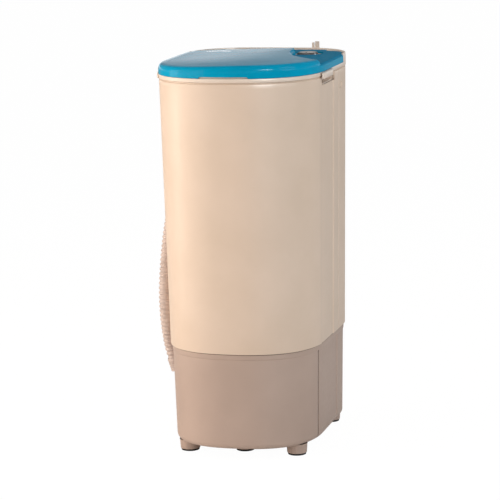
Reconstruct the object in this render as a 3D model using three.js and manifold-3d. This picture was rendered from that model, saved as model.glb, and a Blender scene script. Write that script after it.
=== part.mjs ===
// Laundry spin dryer: a tapered D-shaped cabinet on a shorter base, a tall perforated basket on a sprung
// motor, a hinged lid with a timer knob beside it and a ribbed drain hose clipped up the back.
// Millimetres, +Z up, front of the machine towards -Y. While it is modelled, X = Y = 0 is the basket's
// axis; the last lines move the group so that the floor point under the middle of its box is the origin.

import * as THREE from 'three';
import { mergeVertices } from 'three/addons/utils/BufferGeometryUtils.js';
import Module from 'manifold-3d';

const wasm = await Module();
wasm.setup();

// ---------------------------------------------------------------- driving dimensions

const CLEAR = 0.3; // gap between pieces that touch or fit in each other
const THROUGH = 1; // how far a cutter runs past the face it cuts

// plan of the cabinet at the top of the body: superellipse front, straight sides, round rear corners
const HALF_WIDTH = 143.6;
const FRONT_DEPTH = 155.9;
const REAR_DEPTH = 228;
const REAR_CORNER = 93;
const FRONT_POWER = 2.5;
const FRONT_STEPS = 24;
const CORNER_STEPS = 6;

// heights
const FOOT_HEIGHT = 20.2;
const SEAM_HEIGHT = 187;
const BODY_HEIGHT = 463.5;
const BODY_TOP = SEAM_HEIGHT + BODY_HEIGHT;
const DECK_BOTTOM = BODY_TOP + CLEAR;
const RIM_HEIGHT = 7.5; // from the body to the lid's seat
const LID_SEAT = BODY_TOP + RIM_HEIGHT;
const LID_HEIGHT = 21.5;
const LID_FALL = { start: 60, drop: 4.5 }; // the lid's top slopes down from this x to its left edge
const LID_TOP = LID_SEAT + LID_HEIGHT;
const REAR_WALL_RISE = 15; // over the lid's seat
const REAR_WALL_TOP = LID_SEAT + REAR_WALL_RISE;

// body shells
const BODY_WALL = 3.2;
const BODY_DRAFT = 0.0168; // inward lean per millimetre down
const JOINT_Y = 90; // where the front shell ends and the rear cover starts
const CHANNEL_FRONT = -40;
const CHANNEL_REAR = 52;
const CHANNEL_DEPTH = 1.6;
const COVER_NOTCH = { length: 26, height: 9, depth: 1.6, drop: 34.5 };
const REAR_SCREWS = [[-88, 0.16], [88, 0.16], [-88, 0.9], [88, 0.9]]; // x and share of the cover's height
const SCREW = { radius: 4, head: 2.4, shank: 1.8, depth: 9, seat: 2.4 };

// base
const BASE_STEP = 3.6; // how far the base stands back from the body's lower edge
const BASE_WALL = 4;
const BASE_FLOOR = 4;
const BASE_INSIDE = FOOT_HEIGHT + BASE_FLOOR;
const BASE_CHAMFER = 3;
const BASE_DRAFT = 0.0217;
const COLLAR_HEIGHT = 9; // rabbet inside the body's lower edge
const LEDGE_HEIGHT = 10; // plain band round the top of the base
const LEDGE_STEP = 0.8;
const BASE_PANEL = { front: -41, rear: 98, depth: 1.4, bottom: 30 };
const BASE_GROOVE = { width: 5, depth: 2.6, y: -46 };
const VENT = { count: 5, length: 60, width: 5, pitch: 13, fromRear: 78 };

// deck, the top rim that closes the cabinet round the basket's mouth
const DECK_OVERHANG = 0.6;
const DECK_PLATE = 3;
const RIM_WIDTH = 4.5;
const REAR_WALL = 3.2;
const REAR_WALL_START = 126;
const MOUTH_RADIUS = 100;
const MOUTH_SEGMENTS = 32;
const MOUTH_BEAD = { width: 4, height: 4 };
const MOUTH_COLLAR = 14; // depth of the collar under the mouth
const COLLAR_WALL = 2.5;

// lid
const LID_WALL = 2.6;
const LID_OVERHANG = 1;
const LEDGE_RISE = 14;
const LEDGE_LEVEL = LID_SEAT + LEDGE_RISE; // lower level of the lid behind and beside its raised panel
const PANEL_REAR = 146; // rear edge of the raised panel
const BITE = { x: 247, y: 107, radius: 186 }; // round bite that bounds the raised panel beside the timer
const LID_REAR = 200;
const LID_SIDE_GAP = 1.2; // between the lid and the raised rear wall
const LID_STEP_GAP = 2.2; // between the lid's side step and the front end of the rear wall
const TONGUE = { half: 98, start: 181 }; // the lid's rear corners end here, so that they swing free
const TONGUE_CORNER = [[122, 176], [131, 168], [136.5, 158]];
const FINGER_NOTCH = { width: 87, height: 2.6 };
const NOTCH_RIDGE = { half: 60, gap: 0.8, height: 3.4 }; // on the deck's rim, behind the finger notch
const HINGE = { y: 196, rise: 1.6, x: 60, lug: 12, ear: 6, pin: 2.4, ring: 5 };
const HINGE_Z = LID_SEAT + HINGE.rise;

// carry grips
const GRIP = { front: -46, rear: 33, reach: 5.4, drop: 4.5, web: 4.2 };
const GRIP_BOTTOM = BODY_TOP - GRIP.drop;
const POCKET = { front: -31, rear: 55, height: 11, depth: 12.4, wall: 1.8 };
const POCKET_BOTTOM = GRIP_BOTTOM - POCKET.height;

// lid switch
const SWITCH = {
  x: -92, y: 130, length: 32, width: 14, depth: 22, plunger: 3, well: 12, travel: 3, presser: 5,
};

// tub and basket
const TUB = { gap: 21.6, wall: 2.5, floor: 206, neck: 24, neckRise: 6, flange: 3, segments: 24 };
const TUB_RADIUS = HALF_WIDTH - TUB.gap;
const TUB_TOP = DECK_BOTTOM - CLEAR;
const BASKET = { gap: 16, wall: 1.8, rise: 22, drop: 44.5, lip: 12, segments: 28 };
const BASKET_RADIUS = TUB_RADIUS - BASKET.gap;
const BASKET_BOTTOM = TUB.floor + BASKET.rise;
const BASKET_TOP = BODY_TOP - BASKET.drop;
const HOLES = { columns: 8, rows: 4, radius: 4.5 };
const BALANCE = { height: 20, width: 13 };
const HUB = { radius: 20, height: 26 };
const NUT = { radius: 10, height: 10 };

// timer
const TIMER = { x: 78, fromTub: 13, body: 44, depth: 34, shaft: 3, well: 12, boss: 23, bossGap: 0.6 };
const TIMER_Y = TUB_RADIUS + TIMER.fromTub;
const KNOB = { radius: 19, skirt: 21.5, skirtHeight: 4, rise: 4, height: 12, cap: 5, ribs: 12, gap: 6 };
const KNOB_BASE = LID_SEAT + KNOB.rise;
const KNOB_TOP = KNOB_BASE + KNOB.height;

// drive
const SHAFT_RADIUS = 6;
const SHAFT_DEPTH = 30; // how far the shaft reaches into the motor
const MOTOR = { radius: 54, bottom: 52, height: 84, cap: 14, fins: 3 };
const SLOT_LENGTH = 22; // cooling slots in the motor's end cap
const PLATE = { radius: 88, thickness: 4, slot: 12, slotPlace: 70 };
const BEARING_RADIUS = 11;
const BRAKE = { radius: 44, height: 20, wall: 4, gap: 5, web: 4 };
const LEVER = {
  pivotX: 62, pivotY: -28, length: 56, width: 10, thickness: 4, hub: 8, eye: 6, rise: 4, pin: 3,
};
const PAD = { restGap: 4, front: -6, rear: 22, rise: 1, height: 14 }; // restGap: to the drum, lid shut
const SPRINGS = {
  radius: 70, mean: 13, wire: 1.7, curls: 4, steps: 8, sides: 5,
  cup: 17, cupWall: 2, cupHeight: 9, cupFloor: 3,
};
const SEAL = { inner: 1.0, wall: 2, height: 7.5 };

// electrics
const CAPACITOR = { x: 62, fromRear: 60, radius: 17, height: 66, strap: 1.6, strapHeight: 12 };
const CAPACITOR_Y = REAR_DEPTH - CAPACITOR.fromRear;
const GLAND = { x: -48, rise: 41, radius: 9, bore: 3.6, length: 16, flange: 12.5 };
const GLAND_Z = SEAM_HEIGHT + GLAND.rise;

// feet
const FOOT = { radius: 18.5, taper: 1.5, pad: 3, padInset: 1.2, peg: 5, pegRise: 1.4, segments: 14 };
const FOOT_INSET = { frontX: 48.1, frontY: 81.9, rearX: 42.6, rearY: 60, centreY: 95.9 };
const FOOT_PLACES = {
  front_left: [FOOT_INSET.frontX - HALF_WIDTH, FOOT_INSET.frontY - FRONT_DEPTH],
  front_right: [HALF_WIDTH - FOOT_INSET.frontX, FOOT_INSET.frontY - FRONT_DEPTH],
  rear_left: [FOOT_INSET.rearX - HALF_WIDTH, REAR_DEPTH - FOOT_INSET.rearY],
  rear_right: [HALF_WIDTH - FOOT_INSET.rearX, REAR_DEPTH - FOOT_INSET.rearY],
  front_centre: [0, FOOT_INSET.centreY - FRONT_DEPTH],
};

// drain: elbow from the tub, spigot through the base, ribbed hose and its clip
const DRAIN = { inset: 20, behindSpigot: 0.5, pipe: 8.4, wall: 1.6, turn: 10.7 };
const DRAIN_X = DRAIN.inset - TUB_RADIUS;
const SPIGOT = {
  fromDrain: 14, behindHose: 4, z: 80, radius: 7.4, bore: 5.6, flange: 20, hole: 15.5, holeRise: 9.5,
  tipRise: 38,
};
const SPIGOT_X = DRAIN_X - SPIGOT.fromDrain;
const HOSE = { outer: 11, root: 9.2, bore: 7.6, ribs: 94, sides: 8, boreSteps: 5 };
const CUFF = { outer: 12.2, length: 24, wall: 1.6 };
const CLIP = {
  plate: 3, width: 26, height: 40, jaw: 2.6, jawReach: 7, prongRise: 11, prongStep: 2, hoseDrop: 9,
  narrow: 4, wide: 7.5, slot: 1.6,
};

// the brake cable's middle line between the lever's eye and the deck; heights are shares of the way up
const CABLE = {
  radius: 2.6,
  steps: 22,
  drop: 14.8,
  route: [
    [68, 47, 0], [75, 66, 0.0035], [88, 96, 0.051], [99, 126, 0.183],
    [104, 142, 0.4223], [104, 150, 0.6699], [104, 156, 0.8762], [104, 160, 1],
  ],
};

// the hose's middle line, from the spigot up the left side, round the rear corner to the clip: how far
// inwards of the cabinet's left side, how far behind its rear, and the share of the way from its low end,
// over the spigot, to its high end, in the clip
const HOSE_LOW = SPIGOT.z + SPIGOT.tipRise;
const HOSE_HIGH = REAR_WALL_TOP - CLIP.hoseDrop;
const HOSE_PLAN = [
  [-0.4, -199.5, 0], [-6.7, -201, 0.0385], [-11.2, -204.5, 0.0769], [-13.2, -211, 0.1209],
  [-13.6, -219, 0.1703], [-13.4, -225, 0.2234], [-12.9, -226, 0.2821], [-12.4, -219, 0.3425],
  [-12.4, -206, 0.4029], [-12.4, -188, 0.4615], [-12.7, -164, 0.5128], [-13.2, -136, 0.5513],
  [-13.4, -106, 0.5842], [-10.7, -77, 0.6117], [-1.6, -48, 0.6374], [15.1, -22, 0.6612],
  [38.1, -2, 0.685], [65.6, 11, 0.7106], [93.6, 14.5, 0.7363], [125.6, 14.5, 0.7656],
  [154.6, 14.5, 0.793], [171.6, 14.5, 0.8104], [191.6, 14.5, 0.8377], [203.6, 14.5, 0.8718],
  [212, 14.5, 0.9134], [214.6, 14.5, 0.956], [214.6, 14.5, 1],
];
const HOSE_ROUTE = between(HOSE_PLAN, HOSE_LOW, HOSE_HIGH).map(([x, y, z]) => (
  [x - HALF_WIDTH, y + REAR_DEPTH, z]
));
const SPIGOT_Y = HOSE_ROUTE[0][1] + SPIGOT.behindHose;
const DRAIN_Y = SPIGOT_Y + DRAIN.behindSpigot;

function between(route, low, high) {
  return route.map(([x, y, share]) => [x, y, low + share * (high - low)]);
}

// ---------------------------------------------------------------- solids

const SNAP = 1e-4; // vertices closer than this are one

function solid(geometry) {
  geometry.deleteAttribute('normal');
  geometry.deleteAttribute('uv');
  const merged = mergeVertices(geometry, SNAP);
  const index = Array.from(merged.index.array);
  const triangles = [];
  for (let i = 0; i < index.length; i += 3) {
    const [a, b, c] = index.slice(i, i + 3);
    if (a !== b && b !== c && c !== a) triangles.push(a, b, c);
  }
  const vertProperties = Float32Array.from(merged.attributes.position.array);
  if (signedVolume(vertProperties, triangles) < 0) triangles.reverse();
  const mesh = new wasm.Mesh({ numProp: 3, vertProperties, triVerts: Uint32Array.from(triangles) });
  return new wasm.Manifold(mesh);
}

function signedVolume(positions, triangles) {
  const [a, b, c] = [new THREE.Vector3(), new THREE.Vector3(), new THREE.Vector3()];
  let sum = 0;
  for (let i = 0; i < triangles.length; i += 3) {
    a.fromArray(positions, 3 * triangles[i]);
    b.fromArray(positions, 3 * triangles[i + 1]);
    c.fromArray(positions, 3 * triangles[i + 2]);
    sum += a.dot(b.cross(c));
  }
  return sum;
}

function geometryOf(body) {
  const { vertProperties, triVerts, numProp } = body.getMesh();
  const positions = new Float32Array((vertProperties.length / numProp) * 3);
  for (let i = 0; i < positions.length / 3; i += 1) {
    positions.set(vertProperties.subarray(i * numProp, i * numProp + 3), i * 3);
  }
  const geometry = new THREE.BufferGeometry();
  geometry.setAttribute('position', new THREE.BufferAttribute(positions, 3));
  geometry.setIndex(Array.from(triVerts));
  geometry.computeVertexNormals();
  return geometry;
}

function join(...bodies) {
  return bodies.reduce((whole, body) => whole.add(body));
}

function cut(body, ...cutters) {
  return cutters.reduce((rest, cutter) => rest.subtract(cutter), body);
}

function box(x, y, z) {
  const geometry = new THREE.BoxGeometry(x[1] - x[0], y[1] - y[0], z[1] - z[0]);
  geometry.translate((x[0] + x[1]) / 2, (y[0] + y[1]) / 2, (z[0] + z[1]) / 2);
  return solid(geometry);
}

function mirrored(side, range) {
  const ends = range.map((value) => side * value);
  return ends.sort((a, b) => a - b);
}

// upright cylinder or cone between two heights
function post(x, y, z, radius, segments = 24, topRadius = radius) {
  const geometry = new THREE.CylinderGeometry(topRadius, radius, z[1] - z[0], segments);
  geometry.rotateX(Math.PI / 2);
  geometry.translate(x, y, (z[0] + z[1]) / 2);
  return solid(geometry);
}

// cylinder that lies along X
function rod(x, y, z, radius, segments = 16) {
  const geometry = new THREE.CylinderGeometry(radius, radius, x[1] - x[0], segments);
  geometry.rotateZ(Math.PI / 2);
  geometry.translate((x[0] + x[1]) / 2, y, z);
  return solid(geometry);
}

// cylinder that lies along Y
function rodY(x, y, z, radius, segments = 16) {
  const geometry = new THREE.CylinderGeometry(radius, radius, y[1] - y[0], segments);
  geometry.translate(x, (y[0] + y[1]) / 2, z);
  return solid(geometry);
}

// round piece from a profile of [radius, height] points; a profile off the axis closes on itself
function turned(profile, segments, x = 0, y = 0) {
  const points = profile.map(([radius, height]) => new THREE.Vector2(radius, height));
  const onAxis = profile[0][0] === 0 && profile[profile.length - 1][0] === 0;
  if (!onAxis) points.push(points[0].clone());
  const geometry = new THREE.LatheGeometry(points, segments);
  geometry.rotateX(Math.PI / 2);
  geometry.translate(x, y, 0);
  return solid(geometry);
}

// ---------------------------------------------------------------- cabinet plan and its shells

function superellipse(angle, halfWidth, depth) {
  const power = 2 / FRONT_POWER;
  const part = (value) => Math.sign(value) * Math.abs(value) ** power;
  return [halfWidth * part(Math.cos(angle)), depth * part(Math.sin(angle))];
}

// the plan moved inward by inset, counterclockwise from the left end of the front
function planRing(inset) {
  const halfWidth = HALF_WIDTH - inset;
  const corner = Math.max(REAR_CORNER - inset, 1);
  const rear = REAR_DEPTH - inset;
  const ring = [];
  for (let i = 0; i <= FRONT_STEPS; i += 1) {
    ring.push(superellipse(Math.PI + (Math.PI * i) / FRONT_STEPS, halfWidth, FRONT_DEPTH - inset));
  }
  for (const [centreX, start] of [[halfWidth - corner, 0], [corner - halfWidth, Math.PI / 2]]) {
    for (let i = 0; i <= CORNER_STEPS; i += 1) {
      const angle = start + (Math.PI / 2) * (i / CORNER_STEPS);
      ring.push([centreX + corner * Math.cos(angle), rear - corner + corner * Math.sin(angle)]);
    }
  }
  return ring;
}

// shell through plan rings at [inset, z] stations: a closed profile gives a hoop, an open one is capped
function planShell(profile, closed) {
  const rings = profile.map(([inset, z]) => planRing(inset).map(([x, y]) => [x, y, z]));
  const count = rings[0].length;
  const positions = rings.flat(2);
  const index = [];
  const last = closed ? rings.length : rings.length - 1;
  for (let i = 0; i < last; i += 1) {
    const a = i * count;
    const b = ((i + 1) % rings.length) * count;
    for (let j = 0; j < count; j += 1) {
      const k = (j + 1) % count;
      index.push(a + j, a + k, b + k, a + j, b + k, b + j);
    }
  }
  if (!closed) {
    capRing(positions, index, 0, count, -1);
    capRing(positions, index, (rings.length - 1) * count, count, 1);
  }
  const geometry = new THREE.BufferGeometry();
  geometry.setAttribute('position', new THREE.Float32BufferAttribute(positions, 3));
  geometry.setIndex(index);
  return solid(geometry);
}

function capRing(positions, index, first, count, facing) {
  const middle = positions.length / 3;
  let [x, y] = [0, 0];
  for (let j = 0; j < count; j += 1) {
    x += positions[3 * (first + j)] / count;
    y += positions[3 * (first + j) + 1] / count;
  }
  positions.push(x, y, positions[3 * first + 2]);
  for (let j = 0; j < count; j += 1) {
    const k = (j + 1) % count;
    if (facing > 0) index.push(first + j, first + k, middle);
    else index.push(first + k, first + j, middle);
  }
}

function bodyInset(z) {
  return BODY_DRAFT * (BODY_TOP - z);
}

const BASE_TOP_INSET = bodyInset(SEAM_HEIGHT) + BASE_STEP;

function baseInset(z) {
  return BASE_TOP_INSET + BASE_DRAFT * (SEAM_HEIGHT - z);
}

// upright plate whose inner face leans with the wall: it pares the wall back to a set depth
function sidePare(side, y, z, insetAt, depth) {
  const shape = new THREE.Shape([
    new THREE.Vector2(HALF_WIDTH - insetAt(z[0]) - depth, z[0]),
    new THREE.Vector2(HALF_WIDTH + 20, z[0]),
    new THREE.Vector2(HALF_WIDTH + 20, z[1]),
    new THREE.Vector2(HALF_WIDTH - insetAt(z[1]) - depth, z[1]),
  ]);
  const geometry = new THREE.ExtrudeGeometry(shape, { depth: y[1] - y[0], bevelEnabled: false });
  geometry.rotateX(Math.PI / 2);
  geometry.translate(0, y[1], 0);
  if (side < 0) geometry.rotateZ(Math.PI).translate(0, y[0] + y[1], 0);
  return solid(geometry);
}

const WIDE = 400; // reaches past the cabinet on every side

function cabinetHoop(z) {
  return planShell([
    [bodyInset(z[0]), z[0]], [bodyInset(z[1]), z[1]],
    [bodyInset(z[1]) + BODY_WALL, z[1]], [bodyInset(z[0]) + BODY_WALL, z[0]],
  ], true);
}

function pocketWindow(side) {
  const x = mirrored(side, [HALF_WIDTH - 20, HALF_WIDTH + 20]);
  return box(x, [POCKET.front - CLEAR, POCKET.rear + CLEAR], [POCKET_BOTTOM - CLEAR, BODY_TOP + THROUGH]);
}

function bodyShell() {
  const z = [SEAM_HEIGHT + CLEAR, BODY_TOP];
  const rear = box([-WIDE, WIDE], [JOINT_Y - CLEAR, WIDE], [0, WIDE * 2]);
  const channels = [-1, 1].map((side) => (
    sidePare(side, [CHANNEL_FRONT, CHANNEL_REAR], [z[0] - THROUGH, z[1] + THROUGH], bodyInset, CHANNEL_DEPTH)
  ));
  return cut(cabinetHoop(z), rear, ...channels, pocketWindow(-1), pocketWindow(1));
}

function rearScrewPlaces() {
  return REAR_SCREWS.map(([x, share]) => {
    const z = SEAM_HEIGHT + share * (BODY_TOP - SEAM_HEIGHT);
    const corner = REAR_CORNER - bodyInset(z);
    const along = x * Math.sign(x) - (HALF_WIDTH - REAR_CORNER);
    const y = REAR_DEPTH - REAR_CORNER + Math.sqrt(corner ** 2 - along ** 2);
    return { x, y, z };
  });
}

function rearCover() {
  const z = [SEAM_HEIGHT + CLEAR, BODY_TOP];
  const front = box([-WIDE, WIDE], [-WIDE, JOINT_Y], [0, WIDE * 2]);
  const notchBottom = BODY_TOP - COVER_NOTCH.drop;
  const notchZ = [notchBottom, notchBottom + COVER_NOTCH.height];
  const notches = [-1, 1].map((side) => (
    sidePare(side, [JOINT_Y - THROUGH, JOINT_Y + COVER_NOTCH.length], notchZ, bodyInset, COVER_NOTCH.depth)
  ));
  const glandY = [REAR_DEPTH - bodyInset(GLAND_Z) - BODY_WALL - THROUGH, REAR_DEPTH + THROUGH];
  const gland = rodY(GLAND.x, glandY, GLAND_Z, GLAND.radius + CLEAR, 16);
  const holes = rearScrewPlaces().map(({ x, y, z: height }) => (
    rodY(x, [y - 25, y + 25], height, SCREW.shank + CLEAR, 12)
  ));
  return cut(cabinetHoop(z), front, ...notches, gland, ...holes);
}

// ---------------------------------------------------------------- base

const FLOOR_CUT = [FOOT_HEIGHT - THROUGH, BASE_INSIDE + THROUGH];

function baseBowl(ledge) {
  const top = SEAM_HEIGHT;
  const collarInset = bodyInset(SEAM_HEIGHT) + BODY_WALL + CLEAR;
  return planShell([
    [baseInset(FOOT_HEIGHT) + BASE_CHAMFER, FOOT_HEIGHT],
    [baseInset(FOOT_HEIGHT + BASE_CHAMFER), FOOT_HEIGHT + BASE_CHAMFER],
    [baseInset(ledge), ledge],
    [baseInset(ledge) - LEDGE_STEP, ledge + LEDGE_STEP],
    [baseInset(top) - LEDGE_STEP, top],
    [collarInset, top],
    [collarInset, top + COLLAR_HEIGHT],
    [collarInset + BASE_WALL / 2, top + COLLAR_HEIGHT],
    [baseInset(top) + BASE_WALL, top - COLLAR_HEIGHT],
    [baseInset(BASE_INSIDE) + BASE_WALL, BASE_INSIDE],
  ], false);
}

function baseVents() {
  const vents = [];
  for (let i = 0; i < VENT.count; i += 1) {
    const y = REAR_DEPTH - VENT.fromRear + (i - (VENT.count - 1) / 2) * VENT.pitch;
    const length = [-VENT.length / 2, VENT.length / 2];
    vents.push(box(length, [y - VENT.width / 2, y + VENT.width / 2], FLOOR_CUT));
  }
  return vents;
}

function baseShell() {
  const ledge = SEAM_HEIGHT - LEDGE_HEIGHT;
  const panelY = [BASE_PANEL.front, BASE_PANEL.rear];
  const panels = [-1, 1].flatMap((side) => [
    sidePare(side, panelY, [BASE_PANEL.bottom, ledge], baseInset, BASE_PANEL.depth),
    grooveCutter(side, ledge),
  ]);
  const spigotHole = rod([-HALF_WIDTH, SPIGOT_X], SPIGOT_Y, SPIGOT.z + SPIGOT.holeRise, SPIGOT.hole, 16);
  const footHoles = Object.values(FOOT_PLACES).map(([x, y]) => (
    post(x, y, FLOOR_CUT, FOOT.peg + CLEAR, FOOT.segments)
  ));
  const shell = cut(baseBowl(ledge), ...panels, ...baseVents(), spigotHole, ...footHoles);
  return join(shell, ...springPlaces().map(([x, y]) => springCup(x, y)));
}

function grooveCutter(side, top) {
  const y = [BASE_GROOVE.y - BASE_GROOVE.width / 2, BASE_GROOVE.y + BASE_GROOVE.width / 2];
  const slope = 1 - (Math.abs(BASE_GROOVE.y) / FRONT_DEPTH) ** FRONT_POWER;
  const narrowing = HALF_WIDTH * (1 - slope ** (1 / FRONT_POWER));
  return sidePare(side, y, [FOOT_HEIGHT - THROUGH, top], baseInset, narrowing + BASE_GROOVE.depth);
}

function springPlaces() {
  return [0, 1, 2].map((i) => {
    const angle = Math.PI / 2 + (i * 2 * Math.PI) / 3;
    return [SPRINGS.radius * Math.cos(angle), SPRINGS.radius * Math.sin(angle)];
  });
}

function springCup(x, y) {
  const rim = SPRINGS.cup;
  const outer = rim + SPRINGS.cupWall;
  const root = BASE_INSIDE - THROUGH;
  const top = BASE_INSIDE + SPRINGS.cupHeight;
  const seat = BASE_INSIDE + SPRINGS.cupFloor;
  return turned([[0, root], [outer, root], [outer, top], [rim, top], [rim, seat], [0, seat]], 12, x, y);
}

// ---------------------------------------------------------------- deck

function mouthCutter(z) {
  return post(0, 0, z, MOUTH_RADIUS, MOUTH_SEGMENTS);
}

function deck() {
  const bottom = DECK_BOTTOM;
  const seat = LID_SEAT - CLEAR;
  const plate = bottom + DECK_PLATE;
  const dish = planShell([
    [-DECK_OVERHANG, bottom], [-DECK_OVERHANG, seat], [RIM_WIDTH, seat], [RIM_WIDTH, plate],
  ], false);
  const rearWall = cut(planShell([
    [-DECK_OVERHANG, bottom], [-DECK_OVERHANG, REAR_WALL_TOP - 1], [0.4, REAR_WALL_TOP],
    [REAR_WALL - 0.6, REAR_WALL_TOP], [REAR_WALL, REAR_WALL_TOP - 1], [REAR_WALL, bottom],
  ], true), box([-WIDE, WIDE], [-WIDE, REAR_WALL_START], [0, WIDE * 2]));
  const collarRadius = MOUTH_RADIUS + COLLAR_WALL;
  const beadTop = plate + MOUTH_BEAD.height;
  const collar = turned([
    [MOUTH_RADIUS, bottom - MOUTH_COLLAR], [collarRadius, bottom - MOUTH_COLLAR],
    [collarRadius, bottom + THROUGH], [MOUTH_RADIUS + MOUTH_BEAD.width, plate],
    [MOUTH_RADIUS + MOUTH_BEAD.width / 2, beadTop], [MOUTH_RADIUS, beadTop],
  ], MOUTH_SEGMENTS);
  const boss = post(TIMER.x, TIMER_Y, [bottom, KNOB_BASE - TIMER.bossGap], TIMER.boss, 20);
  const ears = [-1, 1].flatMap((side) => hingeEars(side, plate));
  const whole = join(cut(dish, mouthCutter([0, WIDE * 2])), collar, rearWall, boss, notchRidge(seat), ...ears);
  const shaftHole = post(TIMER.x, TIMER_Y, [0, WIDE * 2], TIMER.shaft + CLEAR, 16);
  const plungerHole = post(SWITCH.x, SWITCH.y, [0, WIDE * 2], SWITCH.plunger + CLEAR, 16);
  return cut(whole, shaftHole, plungerHole, hingeBore(-1), hingeBore(1));
}

function notchRidge(seat) {
  const outer = LID_WALL - LID_OVERHANG + NOTCH_RIDGE.gap;
  const ring = planShell([
    [outer, seat - 1], [outer, seat + NOTCH_RIDGE.height], [RIM_WIDTH, seat + NOTCH_RIDGE.height],
    [RIM_WIDTH, seat - 1],
  ], true);
  return ring.intersect(box([-NOTCH_RIDGE.half, NOTCH_RIDGE.half], [-WIDE, -FRONT_DEPTH / 2], [0, WIDE * 2]));
}

function hingeBore(side) {
  const reach = HINGE.lug + HINGE.ear;
  return rod(mirrored(side, [HINGE.x - reach, HINGE.x + reach]), HINGE.y, HINGE_Z, HINGE.pin + CLEAR, 10);
}

function hingeEars(side, plate) {
  const near = HINGE.lug / 2 + CLEAR;
  const far = near + HINGE.ear;
  return [[HINGE.x - far, HINGE.x - near], [HINGE.x + near, HINGE.x + far]].map((x) => {
    const ends = mirrored(side, x);
    const foot = box(ends, [HINGE.y - HINGE.ring, HINGE.y + HINGE.ring], [plate - 1, HINGE_Z]);
    return join(foot, rod(ends, HINGE.y, HINGE_Z, HINGE.ring, 12));
  });
}

function hingePin(side) {
  const half = HINGE.lug / 2 + CLEAR + HINGE.ear;
  return rod(mirrored(side, [HINGE.x - half, HINGE.x + half]), HINGE.y, HINGE_Z, HINGE.pin, 10);
}

// ---------------------------------------------------------------- lid

// everything behind the raised panel and inside the bite beside it, grown by margin
function loweredRegion(margin, z) {
  const rear = box([-WIDE, WIDE], [PANEL_REAR - margin, WIDE], z);
  return join(rear, post(BITE.x, BITE.y, z, BITE.radius + margin, 64));
}

// the lid's outline keeps inside the raised rear wall
function lidPlan(inset, z, rear = LID_REAR) {
  const wide = planShell([[inset, z[0]], [inset, z[1]]], false);
  const narrowInset = REAR_WALL + LID_SIDE_GAP + inset + LID_OVERHANG;
  const narrow = planShell([[narrowInset, z[0]], [narrowInset, z[1]]], false);
  const split = REAR_WALL_START - LID_STEP_GAP - inset - LID_OVERHANG;
  const front = cut(wide, box([-WIDE, WIDE], [split, WIDE], [0, WIDE * 2]));
  const margin = inset + LID_OVERHANG;
  const corners = [-1, 1].map((side) => rearCorner(side, margin));
  return cut(join(front, narrow), box([-WIDE, WIDE], [rear, WIDE], [0, WIDE * 2]), ...corners);
}

// cuts a rear corner off the lid's plan, where it would swing into the rear wall
function rearCorner(side, margin) {
  const edge = [[TONGUE.half, TONGUE.start], ...TONGUE_CORNER];
  const shape = new THREE.Shape();
  shape.moveTo(TONGUE.half - margin, WIDE);
  edge.forEach(([x, y]) => shape.lineTo(x - margin, y - margin));
  shape.lineTo(WIDE, TONGUE_CORNER[TONGUE_CORNER.length - 1][1] - margin);
  shape.lineTo(WIDE, WIDE);
  shape.closePath();
  const body = solid(new THREE.ExtrudeGeometry(shape, { depth: WIDE * 2, bevelEnabled: false }));
  return side > 0 ? body : body.mirror([1, 0, 0]);
}

// everything under the lid's sloping top, lowered by that much
function underRoof(lowered) {
  const top = LID_TOP - lowered;
  const slope = LID_FALL.drop / (LID_FALL.start + HALF_WIDTH);
  const section = new THREE.Shape();
  section.moveTo(WIDE, 0);
  section.lineTo(WIDE, top);
  section.lineTo(LID_FALL.start, top);
  section.lineTo(-WIDE, top - slope * (WIDE + LID_FALL.start));
  section.lineTo(-WIDE, 0);
  section.closePath();
  const geometry = new THREE.ExtrudeGeometry(section, { depth: 2 * WIDE, bevelEnabled: false });
  geometry.rotateX(Math.PI / 2);
  geometry.translate(0, WIDE, 0);
  return solid(geometry);
}

function lid() {
  const crown = planShell([
    [-LID_OVERHANG, LID_SEAT], [-LID_OVERHANG, LID_TOP - 5], [0, LID_TOP - 2.4], [2.2, LID_TOP - 0.7],
    [6, LID_TOP],
  ], false);
  const outerPlan = lidPlan(-LID_OVERHANG, [LID_SEAT - THROUGH, LID_TOP + THROUGH]);
  const domed = crown.intersect(outerPlan).intersect(underRoof(0));
  const outside = cut(domed, loweredRegion(0, [LEDGE_LEVEL, LID_TOP + THROUGH]));
  const innerTop = LID_TOP - LID_WALL;
  const hollow = cut(
    lidPlan(LID_WALL - LID_OVERHANG, [LID_SEAT - THROUGH, innerTop], LID_REAR + THROUGH),
    loweredRegion(LID_WALL, [LEDGE_LEVEL - LID_WALL, LID_TOP]),
  );
  const softened = hollow.intersect(planShell([
    [LID_WALL - LID_OVERHANG, LID_SEAT - 2 * THROUGH], [LID_WALL - LID_OVERHANG, innerTop - 4],
    [LID_WALL + 3.5, innerTop],
  ], false)).intersect(underRoof(LID_WALL));
  const notch = box([-FINGER_NOTCH.width / 2, FINGER_NOTCH.width / 2], [-WIDE, -FRONT_DEPTH / 2],
    [LID_SEAT - THROUGH, LID_SEAT + FINGER_NOTCH.height]);
  const window = post(TIMER.x, TIMER_Y, [LID_SEAT - THROUGH, LID_TOP], KNOB.skirt + KNOB.gap, 24);
  const lugs = [-1, 1].map((side) => hingeLug(side));
  const presser = post(SWITCH.x, SWITCH.y, [LID_SEAT, LID_TOP - LID_FALL.drop], SWITCH.presser, 12);
  const cap = cut(outside, softened, notch, window);
  return cut(join(cap, presser, ...lugs), hingeBore(-1), hingeBore(1));
}

function hingeLug(side) {
  const ends = mirrored(side, [HINGE.x - HINGE.lug / 2, HINGE.x + HINGE.lug / 2]);
  const stem = box(ends, [HINGE.y - HINGE.ring + 1, HINGE.y + HINGE.ring - 1], [HINGE_Z, LEDGE_LEVEL - 1]);
  return join(stem, rod(ends, HINGE.y, HINGE_Z, HINGE.ring - 0.5, 12));
}

// ---------------------------------------------------------------- grips

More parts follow.
